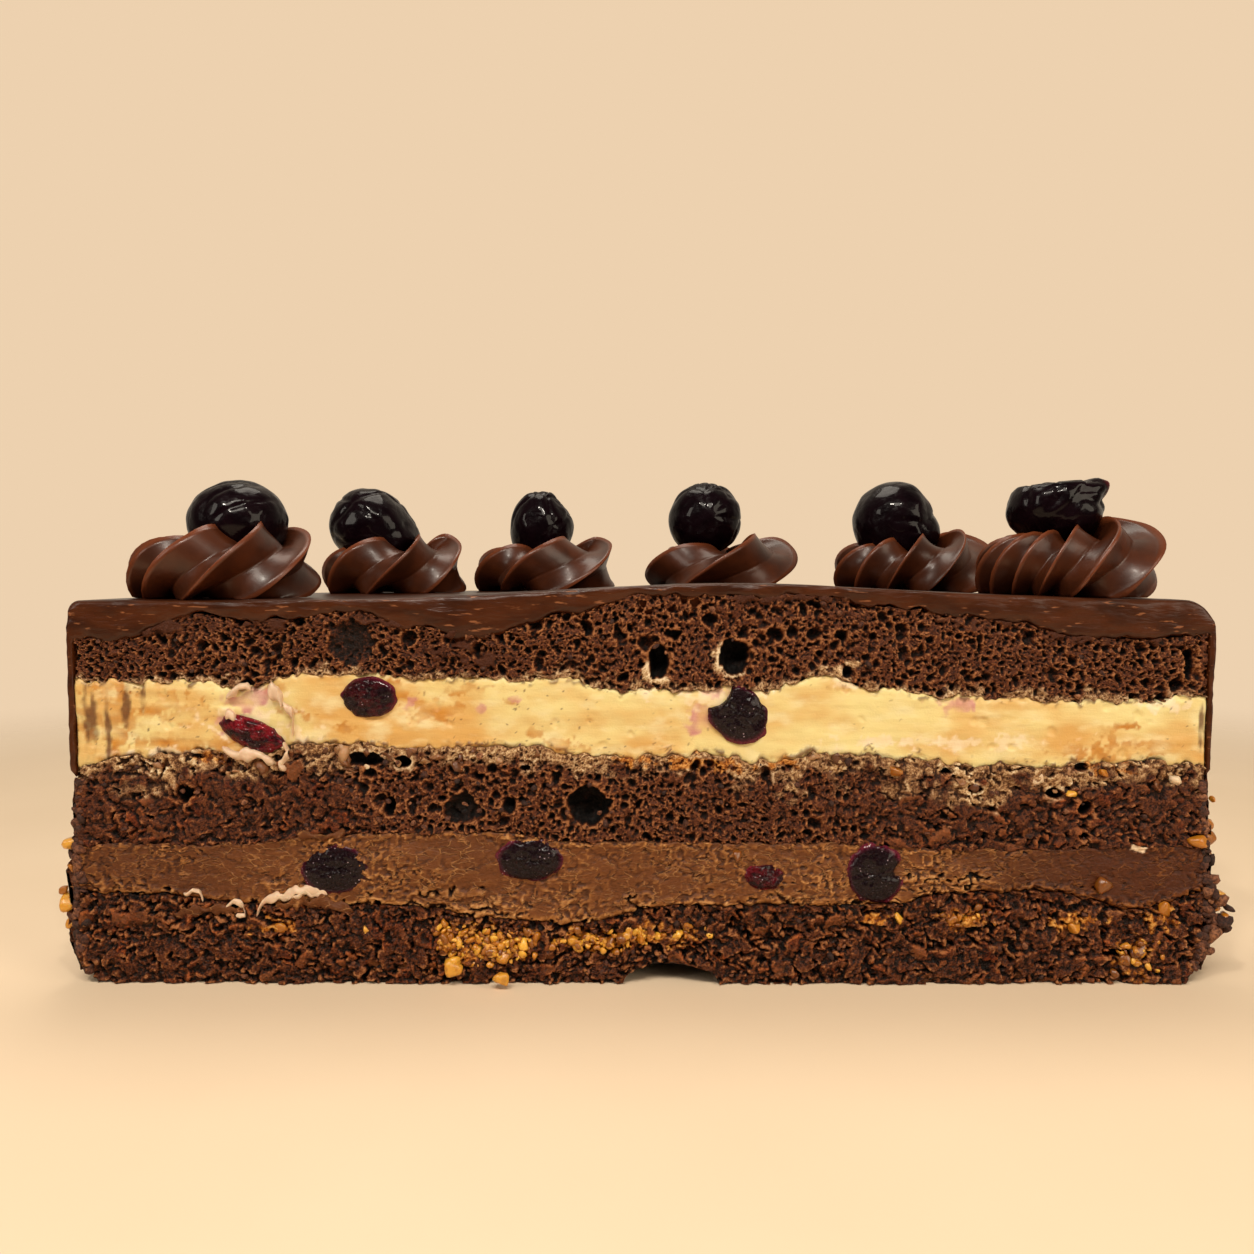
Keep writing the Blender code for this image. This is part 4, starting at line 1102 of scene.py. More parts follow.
# %% [markdown]
# ## Chocolate glaze
# The glaze was poured over the top and ran down the side as a thin skin. It is one closed shell: spokes
# from the middle over the soft rim and down to its ragged foot, a band across the cut where the knife went
# through it and dragged it over the sponge, and a coarse inside that never shows.

# %% Glaze finish
def glaze_finish():
    made = Finish("chocolate_glaze", roughness=0.34, Specular_IOR_Level=0.23, Coat_Weight=0.08,
                  Coat_Roughness=0.15)
    body = made.mix(made.between(made.grain(14, 3), 0.3, 0.7), tone(62, 28, 12), tone(47, 20, 8))
    darker = made.between(made.grain(3.5, 3, (3, 1, 1)), 0.35, 0.7)
    cut = made.mix(darker, tone(72, 33, 10), tone(49, 20, 5))
    # Thin pale streaks on the cut band: painted glints.
    painted_glint_streaks = made.between(made.grain(0.7, 3, (6, 1, 1)), 0.62, 0.7, 0, 0.75)
    cut = made.mix(painted_glint_streaks, cut, tone(150, 94, 60))
    made.set("Base Color", made.mix(made.fact("cut"), body, cut))
    poured = made.bump(made.grain(2.6, 3, (2, 2, 1)), 0.06)
    dragged = made.math("MULTIPLY", made.grain(0.9, 3, (5, 1, 1)), made.fact("cut"))
    made.set("Normal", made.bump(dragged, 0.25, over=poured))
    return made.material


# %% [markdown]
# ## The shape of the glaze
# Its outside is a surface of points in spokes, which keeps the rim's reflection even. On the cut the glaze
# is as thick as its lower edge says, so the band is drawn between the outside and that edge. The skin on
# the side is about a millimetre thick and ends in a torn foot above the crumbs.

# %% Glaze shape
GLAZE_TURNS = 144
GLAZE_STEP = 1.1
FILLET_STEPS = 9
SIDE_STEP = 1.3
EDGE_ROUND = 0.4
WEDGE, CORNER_LOW = 14.0, 60
BAND_SHARES = np.array([0.0, 0.03, 0.08, 0.16, 0.28, 0.42, 0.56, 0.7, 0.82, 0.91, 0.97, 1.0])
BAND_PROUD = 0.45
GLAZE_FOOT = 40.2
CORNER_STEPS, SIDE_STEPS = 30, 20
INSIDE_SPOKES, INSIDE_POINTS = 6, 7
# Where the knife dragged the glaze down: (x, width, how far)
GLAZE_DRAGS = [(-33.0, 12.0, 2.6), (-47.0, 6.0, 1.2), (58.0, 8.0, 1.0), (-100.0, 9.0, 1.2),
               (25.0, 5.0, 0.8)]


def glaze_level(x, depth):
    """The height of the glaze's top, which swells a little in the middle."""
    away = (x - SWELL_X) ** 2 + (0.8 * depth) ** 2
    return RIM_LEVEL + SWELL_HEIGHT * np.exp(-away / (2 * SWELL_SPREAD ** 2))


def glaze_low(x):
    """The lower edge of the glaze on the cut, with the places where the knife dragged it down."""
    line = sponge_seam(x, 0.0) - 0.15
    for middle, width, drop in GLAZE_DRAGS:
        line = line - drop * np.exp(-((x - middle) / (0.45 * width)) ** 4)
    for ragged, size, seed in ((0.55, 3.6, 604), (0.45, 1.6, 601), (0.25, 0.6, 605)):
        line = line + ragged * grain(x, 0 * x, size, seed)
    return line


def glaze_foot(turn):
    """The height that the skin reaches down to, all round the side."""
    place = turn * 40
    return GLAZE_FOOT + 1.3 * grain(place, 0 * place, 8, 602) + 0.7 * grain(place, 0 * place, 2.5, 603)


def glaze_spoke(turn):
    """Points down one spoke of the outside: (radius, height)."""
    fillet = FILLET_MIDDLE + FILLET_CHANGE * math.cos(turn)
    flat = np.linspace(0, CAKE_RADIUS - fillet, round((CAKE_RADIUS - 6) / GLAZE_STEP))
    bend = np.linspace(0, math.pi / 2, FILLET_STEPS + 1)[1:]
    rim_z = glaze_level(CAKE_RADIUS * math.cos(turn), CAKE_RADIUS * math.sin(turn))
    side_top = rim_z - fillet
    side = np.linspace(side_top, glaze_foot(np.array([turn]))[0], round((RIM_LEVEL - 40) / SIDE_STEP))[1:]
    rim = CAKE_RADIUS - fillet + fillet * np.sin(bend)
    radius = np.concatenate([flat, rim, np.full(len(side), CAKE_RADIUS)])
    drop = np.concatenate([0 * flat, fillet * (1 - np.cos(bend))])
    top = glaze_level(radius[:len(drop)] * math.cos(turn), radius[:len(drop)] * math.sin(turn)) - drop
    return radius, np.concatenate([top, side])


def length_along(x, z):
    """How far along a line each of its points is."""
    return np.concatenate([[0], np.cumsum(np.hypot(np.diff(x), np.diff(z)))])


def band_inner_line(sign, outer_x, outer_z, seed):
    """The lower and inner line of the band on one half of the cut, for each point of its outer line.

    In the middle it follows the glaze's lower edge, then it goes round the sponge's corner, and on the side
    it runs straight down inside the skin.
    """
    split = int(np.argmax(outer_x > CAKE_RADIUS - WEDGE))
    last = int(np.argmax((outer_z < CORNER_LOW) & (np.arange(len(outer_x)) > split)))
    corner_x = CAKE_RADIUS - SKIN
    corner_z = glaze_low(np.array([sign * corner_x]))[0]
    path_x = np.concatenate([np.linspace(outer_x[split], corner_x, CORNER_STEPS),
                             np.full(SIDE_STEPS, corner_x)])
    path_z = np.concatenate([glaze_low(sign * path_x[:CORNER_STEPS]),
                             np.linspace(corner_z, outer_z[last], SIDE_STEPS)])
    gone = length_along(path_x, path_z)
    corner = slice(split, last + 1)
    outer = length_along(outer_x[corner], outer_z[corner])
    part = outer / outer[-1] * gone[-1]
    inner_x, inner_z = outer_x.copy(), glaze_low(sign * outer_x)
    inner_x[corner] = np.interp(part, gone, path_x)
    inner_z[corner] = np.interp(part, gone, path_z)
    below = outer_z[last + 1:]
    inner_x[last + 1:] = corner_x + 0.35 * grain(below, 0 * below, 2.0, seed)
    inner_z[last + 1:] = below
    return inner_x, inner_z


def glaze_band(sign, outer_x, outer_z, outer_row, total, seed):
    """The band across one half of the cut: its points, its faces and the numbers of its last row.

    outer_row holds the numbers of the outer line's points, and total says how many points there are so far.
    """
    inner_x, inner_z = band_inner_line(sign, outer_x, outer_z, seed)
    share = BAND_SHARES[1:, None]
    x = sign * (outer_x + (inner_x - outer_x) * share)
    z = outer_z + (inner_z - outer_z) * share
    thick = np.hypot(inner_x - outer_x, inner_z - outer_z)
    swell = BAND_PROUD * np.sin(math.pi * share) ** 0.35 * np.clip(thick / 1.5, 0.4, 1)
    marks = 0.24 * grain(x, z, 1.4, 621, stretch=3) + 0.14 * grain(x, z, 0.6, 622, stretch=2)
    tuck = 0.9 * smooth((share - 0.9) / 0.1)
    y = CUT_Y + (EDGE_ROUND * (1 - smooth(share / 0.1)) - (swell + marks * (1 - tuck)) + tuck)
    count = len(outer_x)
    rows = [outer_row] + [total + k * count + np.arange(count) for k in range(len(share))]
    faces = []
    for upper, lower in zip(rows, rows[1:]):
        quad = np.stack([lower[:-1], lower[1:], upper[1:], upper[:-1]], axis=-1)
        faces += (quad if sign > 0 else quad[:, ::-1]).tolist()
    faces.append([int(row[-1]) for row in rows])
    return np.stack([x, y, z], axis=-1).reshape(-1, 3), faces, rows[-1]


def glaze_outside():
    """The outside, spoke by spoke: its turns, its radius before any unevenness, and its x, depth and z."""
    turns = np.linspace(0, math.pi, GLAZE_TURNS + 1)
    spokes = [glaze_spoke(turn) for turn in turns]
    radius = np.array([spoke[0] for spoke in spokes])
    z = np.array([spoke[1] for spoke in spokes])
    across, back = np.cos(turns)[:, None], np.sin(turns)[:, None]
    x, depth = radius * across, radius * back
    on_top = smooth((CAKE_RADIUS - 2 - radius) / 6)
    z = z + on_top * (0.10 * grain(x, depth, 16, 610) + 0.05 * grain(x, depth, 5, 611))
    puff = (1 - on_top) * (0.25 * grain(turns[:, None] * 100 + 0 * z, z, 9, 612, stretch=2) - 0.1)
    taper = smooth((z.min(axis=1, keepdims=True) + 1.2 - z) / 1.2)
    x = x + (puff - taper) * across
    depth = EDGE_ROUND + (depth + (puff - taper) * back) * (1 - EDGE_ROUND / CAKE_RADIUS)
    return turns, radius, x, depth, z


def build_glaze():
    """The closed shell: its outside, the band on the cut, and the coarse inside."""
    turns, radius, x, depth, z = glaze_outside()
    count = radius.shape[1]
    points = [np.stack([x, CUT_Y + depth, z], axis=-1).reshape(-1, 3)]
    i, k = np.meshgrid(np.arange(GLAZE_TURNS), np.arange(count - 1), indexing="ij")
    a = i * count + k
    faces = np.stack([a, a + 1, a + count + 1, a + count], axis=-1).reshape(-1, 4).tolist()
    total = (GLAZE_TURNS + 1) * count
    inner_rows = []
    for sign, i in ((1, 0), (-1, GLAZE_TURNS)):
        outer_row = np.arange(i * count, (i + 1) * count)
        band, band_faces, inner_row = glaze_band(sign, np.abs(x[i]), z[i], outer_row, total, 620 + i)
        points.append(band)
        faces += band_faces
        total += len(band)
        inner_rows.append(inner_row)
    coarse = np.append(np.arange(0, count - 1, INSIDE_POINTS), count - 1)
    inside = []
    for i in range(INSIDE_SPOKES, GLAZE_TURNS - INSIDE_SPOKES + 1, INSIDE_SPOKES):
        inner_z = np.minimum(z[i] - SKIN, LEVELS["top"] + 0.2)
        inner_z[-1] = z[i][-1] + 0.05
        inner_r = np.minimum(radius[i], CAKE_RADIUS - SKIN)
        inner_x, inner_y = inner_r * math.cos(turns[i]), CUT_Y + EDGE_ROUND + inner_r * math.sin(turns[i])
        points.append(np.stack([inner_x, inner_y, inner_z], axis=-1)[coarse])
        inside.append(total + np.arange(len(coarse)))
        total += len(coarse)
    faces += [f[::-1] for f in zip_lines(inner_rows[0].tolist(), inside[0].tolist())]
    for near, far in zip(inside, inside[1:]):
        faces += np.stack([near[:-1], far[:-1], far[1:], near[1:]], axis=-1).tolist()
    faces += [f[::-1] for f in zip_lines(inside[-1].tolist(), inner_rows[1].tolist())]
    ends = [inner_rows[0][-1], *(row[-1] for row in inside), inner_rows[1][-1]]
    foot = [i * count + count - 1 for i in range(GLAZE_TURNS + 1)]
    faces += zip_lines(foot, [int(e) for e in ends])
    points = np.concatenate(points)
    cut = np.zeros(len(points))
    cut[(GLAZE_TURNS + 1) * count:] = 1
    return points, faces, {"cut": cut}


points, faces, facts = build_glaze()
glaze = piece("chocolate_glaze_coat", points, faces, glaze_finish(), ("chocolate_glaze",), facts)
turn_outwards(glaze, weld=True)

# %% [markdown]
# ## Piped swirls
# A swirl is one rope of whipped chocolate from a star tip, laid in a little over one turn. The tip keeps
# its heading while it goes round, so the rope's sharp fins wind round it and stand up like leaves at the
# front. The rope is a star-shaped ring of points carried along the path, with a point row on every crest to
# keep it sharp.

# %% Swirl finish
def swirl_finish():
    made = Finish("piped_chocolate", roughness=0.36, Specular_IOR_Level=0.34, Coat_Weight=0.12,
                  Coat_Roughness=0.16)
    body = made.mix(made.between(made.grain(6, 2), 0.3, 0.7), tone(76, 35, 15), tone(57, 25, 10))
    # A paler colour along each fin's sharp crest: a painted highlight.
    made.set("Base Color", made.mix(made.fact("fin_edge_highlight"), body, tone(138, 70, 38)))
    made.set("Normal", made.bump(made.grain(1.8, 3), 0.05))
    return made.material


# %% [markdown]
# ## The shape of a swirl
# The photo shows a row of sharp leaves on each swirl, each one the same fin seen again after the rope has
# turned a little further round. So for every swirl the fins' places are given as turns round the ring, and
# the rope's own twist is worked out from them. The rope thins where it starts and is pulled inwards and up
# where it ends.

# %% Swirl shape
# Each rope: its fins, the turns in degrees where one after another faces out (180 is left, 270 is the
# front), how deep the valleys go, its shift to the right and its width
ROPES = [
    (4, (-30, 20, 70, 120, 160, 190, 217, 241, 284, 335, 400, 460), 0.44, 1.2, 0.97),
    (3, (-30, 40, 100, 150, 190, 229, 281, 330, 400, 460), 0.40, 1.5, 1.0),
    (3, (-30, 40, 110, 165, 207, 246, 321, 400, 460), 0.40, 1.2, 1.0),
    (3, (-30, 40, 110, 187, 262, 342, 430), 0.40, 0.8, 1.0),
    (3, (-30, 40, 100, 150, 190, 221, 249, 287, 345, 420), 0.42, 1.6, 1.0),
    (4, (-40, 10, 60, 110, 150, 182, 202, 220, 240, 268, 313, 375, 440), 0.46, 0.9, 0.97),
]
FIN_POINTS = 72
FIN_PUFF, FIN_FILL, FIN_CURL = 0.13, 0.05, 0.16
ROPE_STEPS = 126
START_ARC, START_THIN, START_DIP = 60, 0.3, 1.0
GROWS_FROM, GROWS_ARC = 190, 150
LEFT_THIN, LIFT_HEIGHT = 0.13, 1.5
END_FROM, END_THIN, END_PULL, END_RISE = 368, 0.62, 0.34, 2.6
ROPE_THICK, ROPE_ROUND = 0.54, 0.62
END_ROUND = 0.04
FACING_FROM, FACING_TO, FACING_SOFT = -60, 520.0, 17


def ring_place(swirl):
    """Where a swirl stands: its x and how deep it lies behind the cut."""
    angle, ring = math.radians(swirl[0]), swirl[1]
    return ring * math.cos(angle), ring * math.sin(angle)


def rope_path(swirl, rope, t):
    """The rope's middle at each t from 0 to 1, its radius and its turn."""
    _, _, radius, height, start, turns = swirl
    gone = 360 * turns * t
    turn = math.radians(start) + np.radians(gone)
    begun = smooth(gone / START_ARC)
    grown = smooth((gone + start - GROWS_FROM) / GROWS_ARC)
    ending = smooth((gone + start - END_FROM) / (360 * turns + start - END_FROM))
    full = ROPE_THICK * height
    body = full * (1 - LEFT_THIN * (1 - grown))
    thick = body * (1 - START_THIN * (1 - begun)) * (1 - END_THIN * ending)
    coil = (radius * rope[-1] - body) * (1 - END_PULL * ending) + 0.8 * grown * (1 - ending)
    rise = ROPE_ROUND * body * (1 - START_THIN * (1 - begun)) + LIFT_HEIGHT * grown + END_RISE * ending
    rise = rise - START_DIP * (1 - begun)
    return np.stack([coil * np.cos(turn), coil * np.sin(turn), rise], axis=-1), thick, turn


def fins_passed(turn, faces_out):
    """How many fins have faced out by each turn, as a soft curve through the given turns."""
    fine = np.arange(FACING_FROM, FACING_TO)
    passed = np.interp(fine, faces_out, np.arange(len(faces_out)))
    for _ in range(3):
        padded = np.pad(passed, FACING_SOFT // 2, mode="edge")
        passed = np.convolve(padded, np.full(FACING_SOFT, 1 / FACING_SOFT), mode="valid")
    return np.interp(np.degrees(turn), fine, passed)


def star(within, fins, valley):
    """How far out a fin's side lies, from its crest to the valleys: nearly straight, then soft."""
    half = math.pi / fins
    gone = np.minimum(within, 1 - within) * 2 * half
    straight = valley * math.sin(half) / (np.sin(gone) + valley * np.sin(half - gone))
    filled = FIN_FILL * np.exp(-((half - gone) / (0.3 * half)) ** 2)
    return straight * (1 + FIN_PUFF * np.sin(math.pi * gone / half)) + filled


def swirl_mesh(swirl, rope, seed):
    """The star-shaped rope of one swirl, laid round on the glaze."""
    fins, faces_out, valley, shift, _ = rope
    t = np.linspace(0, 1, ROPE_STEPS + 1)
    centre, thick, turn = rope_path(swirl, rope, t)
    ahead = rope_path(swirl, rope, t + 0.01)[0] - rope_path(swirl, rope, t - 0.01)[0]
    ahead /= np.linalg.norm(ahead, axis=1, keepdims=True)
    out = np.cross(ahead, (0, 0, 1))
    out /= np.linalg.norm(out, axis=1, keepdims=True)
    up = np.cross(out, ahead)
    passed = fins_passed(turn, faces_out)
    place = np.arange(FIN_POINTS) / FIN_POINTS
    within = (place * fins) % 1
    outline = star(within, fins, valley)
    from_end = ((END_ROUND - np.minimum(t, 1 - t)) / END_ROUND).clip(0, 1)
    cap = np.sqrt(np.clip(1 - from_end ** 2, 0.0009, 1))
    own = np.random.default_rng(seed).uniform(0.93, 1.06, fins)[(place * fins).astype(int)]
    reach = (thick * cap)[:, None] * outline * (1 + (own - 1) * (outline - valley) / (1 - valley))
    curl = FIN_CURL * (outline - valley) / (1 - valley)
    wave = 0.10 * grain(turn * 5, 0 * turn, 3.0, seed + 1)
    heading = math.tau * place[None, :] + math.pi / 2 - math.tau / fins * passed[:, None]
    heading = heading + wave[:, None] - curl
    uneven = grain(turn[:, None] * 6 + 0 * heading, 0 * turn[:, None] + within * 4, 2, seed)
    reach = reach * (1 + 0.06 * uneven)
    sweep = out[:, None, :] * np.sin(heading)[..., None] + up[:, None, :] * np.cos(heading)[..., None]
    x, depth = ring_place(swirl)
    spot = np.array([x + shift, CUT_Y + depth, glaze_level(x, depth)])
    points = spot + centre[:, None, :] + sweep * reach[..., None]
    level = glaze_level(points[..., 0], points[..., 1] - CUT_Y)
    points[..., 2] = np.maximum(points[..., 2], level + 0.05)
    points = points.reshape(-1, 3)
    faces = ring_faces(ROPE_STEPS + 1, FIN_POINTS)
    faces.append(list(range(FIN_POINTS))[::-1])
    faces.append(list(range(ROPE_STEPS * FIN_POINTS, (ROPE_STEPS + 1) * FIN_POINTS)))
    # A painted highlight along each fin's crest.
    fin_edge_highlight = np.broadcast_to(np.exp(-np.minimum(within, 1 - within) / 0.012), (ROPE_STEPS + 1, FIN_POINTS))
    return points, faces, {"fin_edge_highlight": 0.6 * fin_edge_highlight.ravel()}


SWIRL = swirl_finish()
for number, (swirl, rope) in enumerate(zip(SWIRLS, ROPES), 1):
    points, faces, facts = swirl_mesh(swirl, rope, 700 + number)
    piece(f"piped_swirl_{number}", points, faces, SWIRL, (f"swirl_{number}",), facts)

# %% [markdown]
# ## Sour cherries on top
# The cherries are whole, soft and nearly black, with a wet gloss. Each is a ball that has sagged and
# wrinkled in its own way. A few places are scattered on it, and narrow grooves along the borders between
# them make the wrinkles. Broad dents change how it shines.

# %% Cherry finish and shapes
def cherry_finish():
    made = Finish("sour_cherry", roughness=0.3, Specular_IOR_Level=0.05, Coat_Weight=0.23,
                  Coat_Roughness=0.03)
    skin = made.mix(made.between(made.grain(4, 2), 0.35, 0.75), tone(16, 4, 9), tone(7, 1, 4))
    made.set("Base Color", made.mix(made.fact("red"), skin, tone(104, 5, 16)))
    soft = made.bump(made.grain(1.6, 2), 0.14)
    made.set("Normal", made.bump(made.cells(3.4, "DISTANCE_TO_EDGE", wander=1.6), 0.22, over=soft))
    return made.material


# Each cherry: creases, their depth, how strongly they gather on top, how deep the dents are, and the red
# place as a direction with its reach
CHERRY_SKINS = [
    (3, 0.45, 0.8, 0.45, None),
    (4, 0.6, 0.3, 0.9, None),
    (7, 0.6, 0.9, 0.5, None),
    (8, 0.6, 1.5, 0.3, None),
    (2, 0.7, 0.3, 0.7, ((0.5, -0.45, 0.75), 0.18)),
    (5, 0.7, 0.8, 0.7, ((0.92, -0.25, 0.5), 0.34)),
]
CREASE_SOFT = 0.075
TORN_CHERRY = 6
CHERRY_RINGS, CHERRY_SIDES = 60, 92


def cherry_shape(number, ball):
    """The unlike outlines of the six cherries, as a stretch of each direction."""
    x, y, z = ball[..., 0], ball[..., 1], ball[..., 2]
    if number == 2:
        return 1 + 0.12 * smooth((x - 0.2 - 0.8 * z) / 0.9) - 0.06 * smooth((x + z - 0.9) / 0.5)
    if number == 3:
        return 1 - 0.14 * smooth((z - 0.1) / 0.9) * smooth((x + 0.2) / 0.8) + 0.05 * smooth(-x)
    if number == 4:
        return 1 + 0.04 * smooth(z) - 0.05 * smooth(x - z)
    if number == 5:
        lobe = np.exp(-((x - 0.85) ** 2 + (z + 0.05) ** 2) / 0.14)
        return 1 - 0.13 * smooth((x + 0.3 * z - 0.25) / 0.5) + 0.13 * lobe
    if number == TORN_CHERRY:
        spike = np.exp(-(np.hypot(x - 0.82, z - 0.5) / 0.26) ** 2) * smooth(-y + 0.6)
        torn = np.clip(z - 0.62, 0, 1)
        fold = np.exp(-((z + 0.05 - 0.3 * x - 0.15 * np.sin(6 * x)) / 0.12) ** 2)
        return 1 - 0.85 * torn + 0.26 * spike - 0.05 * smooth(x + 0.6) * fold
    return 1 - 0.04 * smooth(x - 0.3)


def cherry_mesh(number, swirl, cherry, skin, seed):
    """One whole cherry on its swirl, with its own outline, dents, creases and red place."""
    shift_x, shift_y, lift, width, height, lean = cherry
    creases, crease_depth, gather, dent, red_place = skin
    ball = unit_ball(CHERRY_RINGS, CHERRY_SIDES)
    chance = np.random.default_rng(seed)
    way = chance.normal(size=(creases * 2, 3)) + np.array([0, -0.5, 0.5 + gather])
    way /= np.linalg.norm(way, axis=1, keepdims=True)
    bend = ball + 0.16 * np.stack([grain_round(ball, 0.6, seed + k) for k in (1, 2, 3)], axis=-1)
    away = np.sort(np.linalg.norm(bend[..., None, :] - way, axis=-1), axis=-1)
    crease = np.exp(-(away[..., 1] - away[..., 0]) / CREASE_SOFT) * smooth((1.1 - away[..., 0]) / 0.5)
    scaled = ball * np.array([0.5 * width, 0.47 * width, 0.5 * height])
    scaled = scaled * cherry_shape(number, ball)[..., None]
    dents = 0.6 * dent * grain_round(ball, 0.75, seed + 4) + 0.3 * dent * grain_round(ball, 0.36, seed + 5)
    dents = dents + 0.12 * grain_round(ball, 0.17, seed + 7)
    if number == TORN_CHERRY:
        dents = dents + 0.6 * grain_round(ball, 0.22, seed + 6) * smooth((ball[..., 2] - 0.45) / 0.2)
    grown = np.minimum(1 + (dents - crease_depth * crease) / (0.5 * width), 1.03)
    shape = scaled * grown[..., None]
    x, depth = ring_place(swirl)
    centre = np.array([x + shift_x, CUT_Y + depth + shift_y, glaze_level(x, depth) + lift])
    rotation = np.array(Euler((0, math.radians(lean), 0)).to_matrix())
    points = (shape @ rotation.T + centre).reshape(-1, 3)
    faces = ring_faces(CHERRY_RINGS + 1, CHERRY_SIDES)
    red = np.zeros(ball.shape[:2])
    if red_place:
        way, reach = red_place
        gone = np.linalg.norm(ball - np.array(way) / np.linalg.norm(way), axis=-1)
        ragged = 0.16 * grain_round(ball, 0.16, seed + 8)
        broken = smooth(0.75 + grain_round(ball, 0.12, seed + 9))
        red = smooth((reach - gone + ragged) / (0.8 * reach)) * broken
    return points, faces, {"red": red.ravel()}


CHERRY = cherry_finish()
for number, (swirl, cherry, skin) in enumerate(zip(SWIRLS, TOP_CHERRIES, CHERRY_SKINS), 1):
    points, faces, facts = cherry_mesh(number, swirl, cherry, skin, 800 + 10 * number)
    piece(f"whole_cherry_{number}", points, faces, CHERRY, (f"top_cherry_{number}",), facts)

# %% [markdown]
# ## Crumbs and nuts round the foot
# Broken sponge and caramelised nuts are pressed on round the lower third. Under the loose bits lies a rough
# coat, a relief of packed crumbs on the round side. The bits themselves are small many-sided lumps: a ball
# whose every direction is cut short by a few random planes, all of one kind joined in one mesh.

# %% Lumps
def lumps(places, sizes, seed, level=2, planes=8, soft=7.0, squash=(0.55, 1.0)):
    """Many uneven lumps in one mesh, at places and of sizes in millimetres."""
    ball = bmesh.new()
    bmesh.ops.create_icosphere(ball, subdivisions=level, radius=1.0)
    ball.verts.ensure_lookup_table()
    way = np.array([v.co for v in ball.verts])
    triangles = np.array([[v.index for v in f.verts] for f in ball.faces])
    ball.free()
    chance = np.random.default_rng(seed)
    count = len(places)
    normals = chance.normal(size=(count, planes, 3))
    normals /= np.linalg.norm(normals, axis=-1, keepdims=True)
    near = chance.uniform(0.55, 0.95, (count, 1, planes))
    facing = np.clip(np.einsum("vc,npc->nvp", way, normals) / near, 0, None)
    radius = np.minimum((facing ** soft).sum(axis=-1) ** (-1 / soft), 1.25)
    axes = chance.uniform(squash[0], squash[1], (count, 1, 3))
    turned = way[None] * radius[..., None] * axes
    angles = chance.uniform(0, math.tau, (count, 3))
    spins = np.array([Euler(a).to_matrix() for a in angles])
    turned = np.einsum("nvc,ndc->nvd", turned, spins)
    points = np.asarray(places)[:, None, :] + turned * 0.5 * np.asarray(sizes)[:, None, None]
    faces = (triangles[None] + (np.arange(count) * len(way))[:, None, None]).reshape(-1, 3)
    tint = np.repeat(chance.random(count), len(way))
    return points.reshape(-1, 3), faces.tolist(), {"tint": tint}


def nut_finish():
    made = Finish("caramel_nut", roughness=0.3, Coat_Weight=0.3, Coat_Roughness=0.2, Subsurface_Weight=0.1,
                  Subsurface_Scale=0.001)
    toasted = made.ramp(made.fact("tint"), (0.0, tone(104, 52, 10)), (0.45, tone(184, 114, 24)),
                        (1.0, tone(234, 176, 62)))
    toasted = made.mix(made.between(made.grain(1.1, 3), 0.5, 0.75, 0, 0.5), toasted, tone(146, 78, 20))
    made.set("Base Color", toasted)
    made.set("Normal", made.bump(made.grain(0.6, 3), 0.12))
    return made.material


def crumb_finish():
    made = Finish("loose_crumb", roughness=0.8)
    colour = made.ramp(made.fact("tint"), (0.0, tone(52, 25, 15)), (0.5, tone(92, 50, 31)),
                       (0.85, tone(126, 76, 48)), (1.0, tone(160, 106, 70)))
    darker = made.mix(1.0, colour, tone(150, 130, 120), "MULTIPLY")
    made.set("Base Color", made.mix(made.between(made.grain(0.5, 3), 0.35, 0.65), colour, darker))
    made.set("Normal", made.bump(made.cells(0.45), 0.16))
    return made.material


def add_lumps(name, finish, slot, places, sizes, seed, **shape):
    """Adds one piece made of many loose lumps."""
    points, faces, facts = lumps(places, sizes, seed, **shape)
    piece(name, points, faces, finish, (), facts)


NUT = nut_finish()
CRUMB = crumb_finish()

# %% [markdown]
# ## The rough coat
# Between the larger bits the side is packed with crumbs too small to tell apart. They are one closed skin
# whose outside is relief, thickest a little above the foot, with an uneven upper edge just under the glaze.

# %% The rough coat
CRUST_INNER = CAKE_RADIUS - SKIN + 0.3
CRUST_LOW, CRUST_HIGH = 2.4, 39.8
CRUST_STEP = 0.7
COAT_COLUMNS = 61


def crust_bulge(z):
    """How thick the coat is at a height."""
    return along([(CRUST_LOW, 0.3), (9, 1.6), (18, 1.7), (28, 1.1), (CRUST_HIGH, 0.3)], z)


